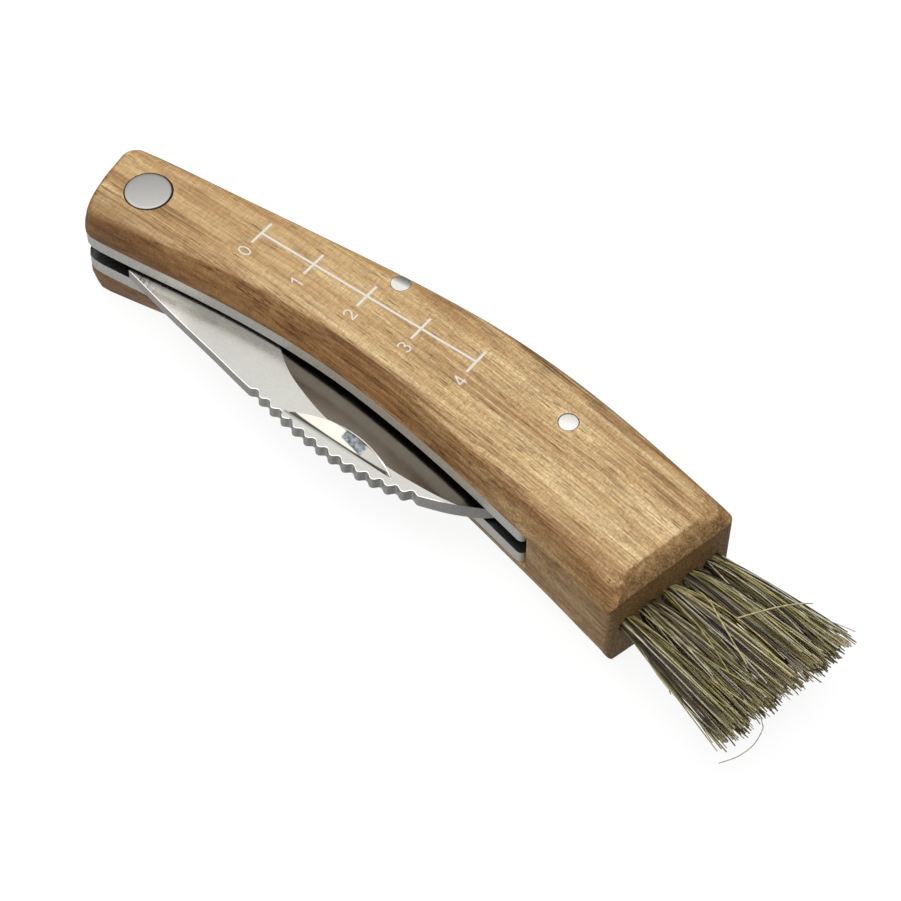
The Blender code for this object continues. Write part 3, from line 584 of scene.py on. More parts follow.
def dome(radius, top, rise, lip, way):
    """Profile of a slightly domed face with a rounded rim, from its middle outwards."""
    out = [(0, top)]
    for k in range(1, 9):
        r = (radius - lip) * k / 8
        out.append((r, top - way * rise * (r / radius) ** 2))
    z = out[-1][1]
    for k in range(1, 6):
        w = pi / 2 * k / 5
        out.append((radius - lip + lip * sin(w), z - way * lip * (1 - cos(w))))
    return out


rivet_top = turned("rivet_head_half", PIVOT, dome(HEAD_R, THICK + 0.1, 0.07, 0.2, 1) + [
    (HEAD_R, THICK - HEAD_T - 0.1), (BARREL_R, THICK - HEAD_T - 0.1), (BARREL_R, 2.2), (1.55, 2.2),
    (1.55, THICK - HEAD_T - 3.0), (0, THICK - HEAD_T - 3.0)])
rivet_low = turned("rivet_pin_half", PIVOT, dome(HEAD_R, 0.03, 0.07, 0.2, -1) + [
    (HEAD_R, HEAD_T + 0.1), (1.5, HEAD_T + 0.1), (1.5, THICK - HEAD_T - 4.2), (1.15, THICK - HEAD_T - 3.8), (0, THICK - HEAD_T - 3.8)])
end_pin = turned("end_pin_face", END_PIN, dome(PIN_R, THICK + 0.03, 0.05, 0.12, 1) + list(reversed(dome(PIN_R, -0.02 + 0.03, 0.05, 0.12, -1))))
mid_pin = turned("mid_pin_face", MID_PIN, [(0, -1), (PIN_R, -1), (PIN_R, THICK + 1), (0, THICK + 1)])
form = handle_form(1.6, 6)
meet_form = mid_pin.modifiers.new("form", "BOOLEAN")
meet_form.operation, meet_form.solver, meet_form.object = "INTERSECT", "EXACT", form
made = bpy.data.meshes.new_from_object(mid_pin.evaluated_get(bpy.context.evaluated_depsgraph_get()))
mid_pin.modifiers.clear()
mid_pin.data = made
bpy.data.objects.remove(form, do_unlink=True)
settle(mid_pin, 25)
for piece, node in ((rivet_top, "pivot_rivet_barrel"), (rivet_low, "pivot_rivet_pin"), (end_pin, "end_pin"), (mid_pin, "mid_pin")):
    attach(piece, "grip")
    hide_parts(node)


# ---- printed scale on the top face: strokes of ink
def ribbon(bm, points, width, z):
    """One flat mitred stroke of ink along the points; a closed one where the last point is the first."""
    points = [Vector(p) for p in points]
    closed = (points[0] - points[-1]).length < 1e-6
    if closed:
        points = points[:-1]
    n = len(points)
    pairs = []
    for i, p in enumerate(points):
        a = points[i - 1] if i or closed else None
        b = points[(i + 1) % n] if i < n - 1 or closed else None
        d1 = (p - a).normalized() if a is not None else (b - p).normalized()
        d2 = (b - p).normalized() if b is not None else d1
        n1 = Vector((-d1.y, d1.x))
        n2 = Vector((-d2.y, d2.x))
        m = (n1 + n2).normalized()
        m *= width / 2 / max(m.dot(n1), 0.4)
        pairs.append([bm.verts.new((q.x, q.y, z)) for q in (p + m, p - m)])
    for i in range(n if closed else n - 1):
        a, b = pairs[i], pairs[(i + 1) % n]
        bm.faces.new((a[0], a[1], b[1], b[0]))


def arc(cx, cy, rx, ry, a0, a1, count=14):
    return [(cx + rx * cos(radians(a0 + (a1 - a0) * k / count)), cy + ry * sin(radians(a0 + (a1 - a0) * k / count))) for k in range(count + 1)]


# Strokes of each digit in a cell 1.3 wide and 2.05 high
DIGITS = {
    "0": [arc(0.65, 1.025, 0.6, 0.98, 0, 360, 28)],
    "1": [[(0.18, 1.5), (0.8, 2.02), (0.8, 0.0)]],
    "2": [arc(0.63, 1.46, 0.56, 0.55, 165, -38, 16) + [(0.05, 0.06)], [(0.0, 0.06), (1.25, 0.06)]],
    "3": [arc(0.6, 1.53, 0.52, 0.48, 150, -88, 16), arc(0.6, 0.55, 0.58, 0.52, 92, -150, 18)],
    "4": [[(0.95, 2.06), (0.95, 0.0)], [(1.3, 0.55), (0.0, 0.55)], [(0.06, 0.6), (0.88, 2.0)]],
}
ink = bmesh.new()
INK_Z = THICK + 0.012
marks = [-19.83 + 10.01 * i for i in range(5)]
for a, b in zip(marks, marks[1:]):
    ribbon(ink, [(a + 0.21, -0.04), (b - 0.21, -0.04)], 0.38, INK_Z)
for i, u in enumerate(marks):
    ribbon(ink, [(u, -2.37), (u, 2.25)], 0.42, INK_Z)
    for k, stroke in enumerate(DIGITS[str(i)]):
        # the digits' feet point to the butt
        ribbon(ink, [(u + 1.2 - y, -4.85 + x) for x, y in stroke], 0.23, INK_Z + 0.012 * k)
bmesh.ops.transform(ink, matrix=Matrix.Scale(MM, 4) @ Matrix.Translation((-U0, -V0, 0)), verts=ink.verts)
for face in ink.faces:
    face.normal_update()
    if face.normal.z < 0:
        face.normal_flip()
mesh = bpy.data.meshes.new("printed_scale")
ink.to_mesh(mesh)
ink.free()
scale = bpy.data.objects.new("printed_scale", mesh)
bpy.context.scene.collection.objects.link(scale)
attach(scale, "grip")

# ---- bristles
TONES = 6
# (tuft, tone, radius, path of u, v, z) of the few hairs that leave the bundles
STRAYS = (
    (4, 0, 0.13, ((72.6, -10.75, 13.3), (75.75, -6.5, 13.6), (78.1, -3.95, 13.7), (79.5, -2.8, 13.6))),
    (1, 2, 0.09, ((72.0, -14.0, 9.0), (79.9, -17.3, 8.0), (82.75, -19.1, 7.2), (83.3, -20.1, 6.9), (83.4, -22.2, 6.3), (82.6, -24.6, 5.8), (81.05, -26.8, 5.4))),
    (4, 2, 0.10, ((64.3, -1.6, 10.0), (72.0, -2.0, 10.6), (77.1, -2.6, 10.5), (85.65, -0.9, 10.0))),
    (0, 4, 0.10, ((61.9, -17.7, 6.2), (67.45, -20.2, 5.6), (69.9, -21.8, 5.2))),
    (0, 5, 0.09, ((64.4, -18.9, 6.2), (69.5, -20.9, 5.6), (71.85, -21.95, 5.2))),
    (0, 4, 0.14, ((60.35, -16.2, 10.4), (64.9, -17.9, 12.6), (70.65, -18.5, 13.1), (77.3, -18.4, 12.9), (81.6, -17.8, 12.4))),
    (1, 4, 0.12, ((60.9, -11.5, 10.6), (68.4, -14.6, 13.0), (72.7, -16.65, 13.3), (76.3, -18.4, 13.0))),
    (3, 0, 0.12, ((65.2, -8.3, 9.6), (68.2, -10.4, 12.3), (72.0, -12.9, 13.0), (77.4, -15.7, 12.6))),
)


def make_tuft(index, rng):
    root, out, side = tuft_frame(index)
    k = index - (TUFTS - 1) / 2
    lean = radians(TUFT_LEAN)
    centre_way = out * cos(lean) + side * sin(lean)
    up = Vector((0, 0, 1))
    bm = bmesh.new()
    for n in range(150):
        r, w = rng.random() ** 0.55, 2 * pi * rng.random()
        a, b = r * cos(w), r * sin(w)
        loose = rng.random()
        wild = 2.4 if loose < 0.12 else 1.5 if loose < 0.4 else 0.9
        start = root + side * (a * 1.25) + up * (b * 1.2)
        length = TUFT_LENGTH * (1 + rng.gauss(0.0, 0.018)) - 3.0 * rng.random() ** 5
        tip = root + centre_way * length + side * (k * (TUFT_SPREAD - TUFT_PITCH))
        tip += side * (a * 1.8 + rng.gauss(0, 0.9) * wild) + up * (b * 3.0 + rng.gauss(0, 0.5) * wild)
        quick, weights = 0.55, (22, 16, 20, 13, 18, 11)
        if n % 5 == 0:
            # some dark hairs underneath fan out at once and close the gaps between the tufts; their dark tones partly
            # stand in for the shade in these gaps: painted shade
            a = rng.choice((-1, 1)) * rng.uniform(0.5, 1.0)
            if index in (0, TUFTS - 1) and a * (1 if index else -1) > 0:
                a = -a
            start = root + side * (a * 1.2) - up * rng.uniform(0.1, 1.0)
            tip = root + centre_way * length + side * (k * (TUFT_SPREAD - TUFT_PITCH) + a * 3.0) - up * rng.uniform(1.0, 3.2)
            quick, weights = 0.33, (4, 34, 4, 34, 8, 26)
        elif index in (0, TUFTS - 1) and a * (1 if index else -1) > 0:
            quick = 0.85
        way = tip - start
        ahead = out * way.dot(out)
        aside = way - ahead
        bow = side * rng.gauss(0, 0.26) * wild + up * rng.gauss(0, 0.28) * wild
        points = [start - out * 3.0, start - out * 0.5]
        for step in range(1, 11):
            t = (step / 10) ** 1.25
            points.append(start + ahead * t + aside * t ** quick + bow * sin(pi * t))
        tube(bm, points, rng.choice((0.085, 0.1, 0.115, 0.13, 0.15)), rng.choices(range(TONES), weights)[0])
    for owner, tone, radius, path in STRAYS:
        if owner == index:
            tube(bm, [Vector((*q, z)) for q, z in zip(through([p[:2] for p in path], 5), lift([p[2] for p in path], 5))], radius, tone)
    return bm


def lift(heights, steps):
    out = []
    for a, b in zip(heights, heights[1:]):
        out += [a + (b - a) * k / steps for k in range(steps)]
    return out + [heights[-1]]


def tube(bm, points, radius, tone, sides=6):
    rings = []
    n = len(points)
    for i, p in enumerate(points):
        d = (points[min(i + 1, n - 1)] - points[max(i - 1, 0)]).normalized()
        x = d.cross(Vector((0.3, 0.1, 0.95))).normalized()
        y = d.cross(x)
        r = radius * (1 - 0.25 * i / (n - 1))
        rings.append([bm.verts.new(p + x * (r * cos(2 * pi * k / sides)) + y * (r * sin(2 * pi * k / sides))) for k in range(sides)])
    for a, b in zip(rings, rings[1:]):
        for i in range(sides):
            j = (i + 1) % sides
            face = bm.faces.new((a[i], a[j], b[j], b[i]))
            face.material_index = tone
    for ring, flip in ((rings[0], True), (rings[-1], False)):
        face = bm.faces.new(list(reversed(ring)) if flip else ring)
        face.material_index = tone


rng = random.Random(11)
tufts = []
for i in range(TUFTS):
    tuft = to_object(f"bristles_{i + 1}", make_tuft(i, rng), 60)
    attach(tuft, "grip")
    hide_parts(f"tuft_{i + 1}")
    tufts.append(tuft)


# ---------------------------------------------------------------- materials
class Graph:
    """A short hand for node trees: sockets go in, and a socket comes out."""

    def __init__(self, name):
        self.material = bpy.data.materials.new(name)
        self.material.use_nodes = True
        self.tree = self.material.node_tree
        self.shader = self.tree.nodes["Principled BSDF"]
        coordinates = self.tree.nodes.new("ShaderNodeTexCoord").outputs["Object"]
        self.at = self.vector("MULTIPLY", coordinates, (1000.0, 1000.0, 1000.0))  # millimetres

    def put(self, socket, value):
        if isinstance(value, bpy.types.NodeSocket):
            self.tree.links.new(value, socket)
        elif hasattr(socket.default_value, "__len__") and not hasattr(value, "__len__"):
            socket.default_value = [value] * len(socket.default_value)
        elif hasattr(value, "__len__") and len(socket.default_value) == 4 and len(value) == 3:
            socket.default_value = (*value, 1.0)
        else:
            socket.default_value = value

    def math(self, operation, a, b=0.0, c=0.0, clamp=False):
        n = self.tree.nodes.new("ShaderNodeMath")
        n.operation, n.use_clamp = operation, clamp
        for socket, value in zip(n.inputs, (a, b, c)):
            self.put(socket, value)
        return n.outputs[0]

    def vector(self, operation, a, b=(0.0, 0.0, 0.0)):
        n = self.tree.nodes.new("ShaderNodeVectorMath")
        n.operation = operation
        self.put(n.inputs[0], a)
        self.put(n.inputs[1], b)
        return n.outputs["Value"] if operation in ("DOT_PRODUCT", "LENGTH", "DISTANCE") else n.outputs["Vector"]

    def split(self, vector):
        n = self.tree.nodes.new("ShaderNodeSeparateXYZ")
        self.put(n.inputs[0], vector)
        return n.outputs[0], n.outputs[1], n.outputs[2]

    def join(self, x, y, z):
        n = self.tree.nodes.new("ShaderNodeCombineXYZ")
        for socket, value in zip(n.inputs, (x, y, z)):
            self.put(socket, value)
        return n.outputs[0]

    def noise(self, vector, scale=1.0, detail=2.0, rough=0.5, distortion=0.0):
        n = self.tree.nodes.new("ShaderNodeTexNoise")
        self.put(n.inputs["Vector"], vector)
        self.put(n.inputs["Scale"], scale)
        self.put(n.inputs["Detail"], detail)
        self.put(n.inputs["Roughness"], rough)
        self.put(n.inputs["Distortion"], distortion)
        return n.outputs["Fac"]

    def cells(self, vector, scale=1.0, feature="F1", random_=1.0):
        n = self.tree.nodes.new("ShaderNodeTexVoronoi")
        n.feature = feature
        self.put(n.inputs["Vector"], vector)
        self.put(n.inputs["Scale"], scale)
        self.put(n.inputs["Randomness"], random_)
        return n.outputs["Distance"], n.outputs["Color"] if "Color" in n.outputs else None

    def remap(self, value, a, b, c=0.0, d=1.0, smooth=False):
        n = self.tree.nodes.new("ShaderNodeMapRange")
        n.interpolation_type = "SMOOTHSTEP" if smooth else "LINEAR"
        n.clamp = True
        for socket, v in zip(n.inputs, (value, a, b, c, d)):
            self.put(socket, v)
        return n.outputs[0]

    def ramp(self, value, stops):
        n = self.tree.nodes.new("ShaderNodeValToRGB")
        while len(n.color_ramp.elements) < len(stops):
            n.color_ramp.elements.new(0.5)
        for element, (at, colour) in zip(n.color_ramp.elements, stops):
            element.position = at
            element.color = (*colour, 1.0)
        self.put(n.inputs[0], value)
        return n.outputs[0]

    def mix(self, share, a, b, blend="MIX"):
        n = self.tree.nodes.new("ShaderNodeMix")
        n.data_type, n.blend_type, n.clamp_factor = "RGBA", blend, True
        self.put(n.inputs["Factor"], share)
        self.put(n.inputs[6], a)
        self.put(n.inputs[7], b)
        return n.outputs[2]

    def bump(self, height, distance, strength=1.0):
        n = self.tree.nodes.new("ShaderNodeBump")
        self.put(n.inputs["Strength"], strength)
        self.put(n.inputs["Distance"], distance)
        self.put(n.inputs["Height"], height)
        self.tree.links.new(n.outputs[0], self.shader.inputs["Normal"])

    def set(self, **inputs):
        for name, value in inputs.items():
            self.put(self.shader.inputs[name.replace("_", " ")], value)
        return self.material


def linear(r, g, b):
    """sRGB 0..255 to scene-linear."""
    return tuple((c / 255 / 12.92) if c / 255 <= 0.04045 else ((c / 255 + 0.055) / 1.055) ** 2.4 for c in (r, g, b))


def wood():
    g = Graph("oiled_wood")
    x, y, z = g.split(g.at)
    u, v = g.math("ADD", x, U0), g.math("ADD", y, V0)
    # the grain bends gently along the handle
    bend = g.math("MULTIPLY", u, g.math("MULTIPLY_ADD", u, 0.0007, 0.085))
    across = g.math("ADD", v, bend)
    deep = g.math("MULTIPLY_ADD", u, -0.012, z)
    wander = g.noise(g.join(g.math("MULTIPLY", u, 0.02), g.math("MULTIPLY", across, 0.09), g.math("MULTIPLY", deep, 0.09)), 1.0, 2.0)
    across = g.math("MULTIPLY_ADD", g.math("SUBTRACT", wander, 0.5), 2.2, across)

    def grain(fu, fa, fd, detail=2.0, rough=0.5, shift=0.0):
        return g.noise(g.join(
            g.math("MULTIPLY_ADD", u, fu, shift), g.math("MULTIPLY", across, fa), g.math("MULTIPLY", deep, fd)), 1.0, detail, rough)

    def zone(value, a, b, c, d):
        """1 between b and c, fading to 0 at a and d."""
        return g.math("MULTIPLY", g.remap(value, a, b, 0.0, 1.0, smooth=True), g.remap(value, c, d, 1.0, 0.0, smooth=True))

    bolder = g.remap(u, -20.0, 25.0, 0.0, 1.0, smooth=True)
    broad = grain(0.02, 0.2, 0.2, 2.0)
    bands = grain(0.025, 0.8, 0.7, 3.0, 0.6, 7.0)
    streaks = grain(0.035, 2.2, 1.6, 3.0, 0.6, 3.0)
    hairs = grain(0.05, 5.0, 4.0, 2.0, 0.5, 23.0)
    fibre = grain(0.45, 7.0, 7.0, 3.0, 0.65, 11.0)
    ripple = grain(5.0, 0.8, 0.8, 1.0, 0.5, 5.0)
    patch = grain(0.12, 0.33, 0.33, 3.0, 0.6, 19.0)
    tone = g.math("ADD", g.math("MULTIPLY", broad, 0.5), g.math("MULTIPLY", bands, 0.5))
    tone = g.math("ADD", tone, g.remap(u, 15.0, 55.0, 0.0, 0.04))
    colour = g.ramp(tone, (
        (0.33, linear(150, 107, 60)), (0.42, linear(184, 142, 90)), (0.50, linear(203, 165, 112)), (0.56, linear(215, 181, 127)),
        (0.64, linear(236, 207, 156))))
    # darker wood in clouds along the back, and smudges towards the butt
    belt = g.remap(g.math("MULTIPLY_ADD", g.math("SUBTRACT", patch, 0.5), 9.0, across), 5.8, 10.0, 0.0, 1.0, smooth=True)
    belt = g.math("MULTIPLY", belt, g.math("MULTIPLY", g.remap(u, -2.0, 16.0, 0.25, 1.0, smooth=True), g.remap(streaks, 0.40, 0.56, 0.45, 1.0)))
    belt = g.math("MULTIPLY", belt, g.remap(u, 36.0, 50.0, 1.0, 0.5, smooth=True))
    colour = g.mix(g.math("MULTIPLY", belt, 0.88), colour, linear(108, 72, 34))
    smudge = g.vector("LENGTH", g.join(
        g.math("MULTIPLY", g.math("SUBTRACT", u, 54.5), 0.2), g.math("MULTIPLY_ADD", g.math("SUBTRACT", u, 54.5), 0.14, g.math("MULTIPLY", g.math("ADD", v, 2.3), 0.5)), 0.0))
    smudge = g.math("MULTIPLY_ADD", g.math("SUBTRACT", fibre, 0.5), 1.1, g.math("MULTIPLY_ADD", g.math("SUBTRACT", patch, 0.5), 1.6, smudge))
    colour = g.mix(g.math("MULTIPLY", g.remap(smudge, 1.0, 0.45, 0.0, 0.6, smooth=True), g.remap(hairs, 0.44, 0.56, 0.25, 1.0)), colour, linear(120, 84, 42))
    clouds = g.math("MULTIPLY", g.remap(patch, 0.52, 0.70, 0.0, 0.5, smooth=True), g.remap(streaks, 0.40, 0.6, 0.4, 1.0))
    colour = g.mix(clouds, colour, linear(146, 106, 60))
    # long thin brown growth lines, gathered along the belly side of the top, and paler wood between them
    gather = g.math("MAXIMUM", zone(across, -12.5, -10.5, -8.0, -5.0), g.math("MULTIPLY", bolder, 0.5))
    gather = g.math("MAXIMUM", gather, 0.2)
    lines = g.math("MULTIPLY", g.remap(streaks, 0.54, 0.66, 0.0, 1.0, smooth=True), gather)
    colour = g.mix(g.math("MULTIPLY", lines, 0.78), colour, linear(126, 86, 43))
    d0, c0 = g.cells(g.join(g.math("MULTIPLY", u, 0.02), g.math("MULTIPLY", across, 1.5), g.math("MULTIPLY", deep, 1.1)))
    single = g.math("MULTIPLY", g.remap(d0, 0.19, 0.09, 0.0, 1.0), g.remap(g.split(c0)[0], 0.3, 0.8, 0.25, 1.0))
    single = g.math("MULTIPLY", single, g.math("MULTIPLY_ADD", gather, 0.85, 0.05))
    colour = g.mix(g.math("MULTIPLY", single, 0.85), colour, linear(104, 65, 28))
    thin = g.math("MULTIPLY", g.remap(hairs, 0.56, 0.63, 0.0, 1.0, smooth=True), g.math("MULTIPLY_ADD", gather, 0.8, 0.1))
    colour = g.mix(g.math("MULTIPLY", thin, 0.6), colour, linear(114, 74, 34))
    colour = g.mix(g.math("MULTIPLY", g.remap(streaks, 0.47, 0.36, 0.0, 0.5, smooth=True), g.math("MULTIPLY_ADD", bolder, 0.5, 0.5)),
                   colour, linear(237, 209, 158))
    colour = g.mix(1.0, colour, g.ramp(fibre, ((0.3, (0.76, 0.74, 0.70)), (0.5, (1, 1, 1)), (0.72, (1.2, 1.2, 1.18)))), "MULTIPLY")
    colour = g.mix(1.0, colour, g.ramp(ripple, ((0.32, (0.86, 0.845, 0.815)), (0.5, (1, 1, 1)), (0.68, (1.11, 1.115, 1.12)))), "MULTIPLY")
    stipple = g.noise(g.join(g.math("MULTIPLY", u, 3.0), g.math("MULTIPLY", across, 5.5), g.math("MULTIPLY", deep, 5.5)), 1.0, 3.0, 0.7)
    grainy = g.ramp(stipple, ((0.34, (0.60, 0.555, 0.49)), (0.5, (1, 1, 1)), (0.66, (1.22, 1.23, 1.24))))
    colour = g.mix(g.math("MULTIPLY_ADD", bolder, 0.75, 0.12), colour, g.mix(1.0, colour, grainy, "MULTIPLY"))
    # open pores: short dark dashes along the grain, thicker in the darker clouds and towards the butt
    d1, c1 = g.cells(g.join(g.math("MULTIPLY", u, 0.2), g.math("MULTIPLY", across, 2.7), g.math("MULTIPLY", deep, 2.7)))
    d2, c2 = g.cells(g.join(g.math("MULTIPLY", u, 0.42), g.math("MULTIPLY", across, 5.2), g.math("MULTIPLY", deep, 5.2)))
    share = g.math("SUBTRACT", g.remap(patch, 0.38, 0.62, 0.95, 0.55), g.math("MULTIPLY", bolder, 0.34))
    pores = g.math("MULTIPLY", g.remap(d1, 0.25, 0.13, 0.0, 1.0), g.math("GREATER_THAN", g.split(c1)[0], share))
    small = g.math("MULTIPLY", g.remap(d2, 0.28, 0.15, 0.0, 1.0), g.math("GREATER_THAN", g.split(c2)[1], g.math("SUBTRACT", share, 0.12)))
    pores = g.math("MAXIMUM", pores, g.math("MULTIPLY", small, 0.8))
    colour = g.mix(g.math("MULTIPLY", pores, 0.8), colour, linear(92, 56, 24))
    # the board's side faces are browner and darker than its top: partly the side grain's own tone, partly painted shade
    # where the sides turn away from the light, less of it towards the butt
    normal = g.tree.nodes.new("ShaderNodeNewGeometry").outputs["True Normal"]
    side_shade_and_tone = g.remap(g.math("ABSOLUTE", g.split(normal)[2]), 0.93, 0.76, 0.0, 1.0, smooth=True)
    side_shade_and_tone = g.math("MULTIPLY", side_shade_and_tone, g.remap(u, -5.0, 40.0, 1.0, 0.62, smooth=True))
    colour = g.mix(side_shade_and_tone, colour, g.mix(1.0, colour, (0.68, 0.55, 0.45), "MULTIPLY"))
    # darker towards the pivot's corner on the belly side, mostly on the top
    corner = g.math("MULTIPLY", g.remap(u, -28.0, -41.0, 0.0, 0.9, smooth=True), g.remap(v, -7.0, -10.5, 0.0, 1.0, smooth=True))
    corner = g.math("MULTIPLY", corner, g.math("MULTIPLY_ADD", side_shade_and_tone, -0.6, 1.0))
    colour = g.mix(corner, colour, g.mix(1.0, colour, (0.60, 0.53, 0.43), "MULTIPLY"))
    # end grain drinks more oil: the butt is dark and speckled
    facing = g.vector("DOT_PRODUCT", normal, (BUTT_N[0], BUTT_N[1], 0.0))
    scorch = g.noise(g.join(g.math("MULTIPLY", u, 0.5), g.math("MULTIPLY", v, 0.9), g.math("MULTIPLY", z, 0.9)), 1.0, 4.0, 0.7)
    facing = g.math("MULTIPLY_ADD", g.math("SUBTRACT", scorch, 0.5), 0.9, facing)
    end = g.math("MULTIPLY", g.remap(facing, 0.32, 0.82, 0.0, 1.0, smooth=True), g.math("GREATER_THAN", u, 52.0))
    dots, tint = g.cells(g.join(g.math("MULTIPLY", u, 1.0), g.math("MULTIPLY", v, 4.5), g.math("MULTIPLY", z, 4.5)))
    speckle = g.noise(g.at, 3.2, 3.0, 0.7)
    ends = g.ramp(speckle, ((0.34, linear(84, 59, 30)), (0.5, linear(134, 101, 58)), (0.66, linear(190, 152, 98))))
    ends = g.mix(g.math("MULTIPLY", g.remap(dots, 0.34, 0.2, 0.0, 1.0), 0.7), ends, linear(52, 34, 16))
    colour = g.mix(g.math("MULTIPLY", end, 0.88), colour, ends)
    height = g.math("MULTIPLY_ADD", pores, -0.55, g.math("MULTIPLY", fibre, 0.3))
    height = g.math("MULTIPLY_ADD", ripple, 0.12, height)
    height = g.math("MULTIPLY_ADD", g.math("MULTIPLY", end, speckle), 1.2, height)
    g.bump(height, 0.00006, 0.6)
    rough = g.math("MULTIPLY_ADD", pores, 0.2, g.remap(fibre, 0.3, 0.7, 0.40, 0.55))
    return g.set(Base_Color=colour, Roughness=rough, Specular_IOR_Level=0.45)


def steel(name, colour, low, high, brush=(0.4, 0.4, 0.4), depth=0.000004, speck=0.0, side=None):
    """Ground steel: fine scratches along the axis whose brush factor is smallest; side is the colour of cut side walls."""
    g = Graph(name)
    x, y, z = g.split(g.at)
    lines = g.noise(g.join(g.math("MULTIPLY", x, brush[0]), g.math("MULTIPLY", y, brush[1]), g.math("MULTIPLY", z, brush[2])), 1.0, 3.0, 0.65)
    cloud = g.noise(g.at, 0.35, 2.0, 0.5)
    tint = g.mix(g.remap(lines, 0.3, 0.7, 0.0, 1.0), tuple(c * 0.9 for c in colour), tuple(min(1.0, c * 1.08) for c in colour))
    if speck:
        d, c = g.cells(g.at, 1.3)
        dot = g.math("MULTIPLY", g.remap(d, 0.13, 0.06, 0.0, 1.0), g.math("GREATER_THAN", g.split(c)[0], 0.6))
        tint = g.mix(g.math("MULTIPLY", dot, speck), tint, tuple(c * 0.6 for c in colour))
    rough = g.math("ADD", g.remap(lines, 0.3, 0.7, low, high), g.remap(cloud, 0.3, 0.7, -0.02, 0.03))
    if side:
        normal = g.tree.nodes.new("ShaderNodeNewGeometry").outputs["True Normal"]
        wall = g.remap(g.math("ABSOLUTE", g.split(normal)[2]), 0.8, 0.5, 0.0, 1.0)
        grit = g.noise(g.join(g.math("MULTIPLY", x, 7.0), g.math("MULTIPLY", y, 7.0), g.math("MULTIPLY", z, 2.0)), 1.0, 3.0, 0.7)
        blank = g.mix(g.remap(grit, 0.3, 0.7, 0.0, 1.0), tuple(c * 0.8 for c in side), tuple(min(1.0, c * 1.15) for c in side))
        # painted shade: the faces at the front end, the liners' at the nose, are darkened where the slot's mouth is in
        # shadow
        tint = g.mix(g.remap(x, -60.5, -63.5, 0.0, 1.0), tint, tuple(c * 0.12 for c in colour))
        tint = g.mix(wall, tint, blank)
        rough = g.math("ADD", rough, g.math("MULTIPLY", wall, 0.12))
    g.bump(lines, depth, 0.6)
    return g.set(Base_Color=tint, Roughness=rough, Metallic=1.0)


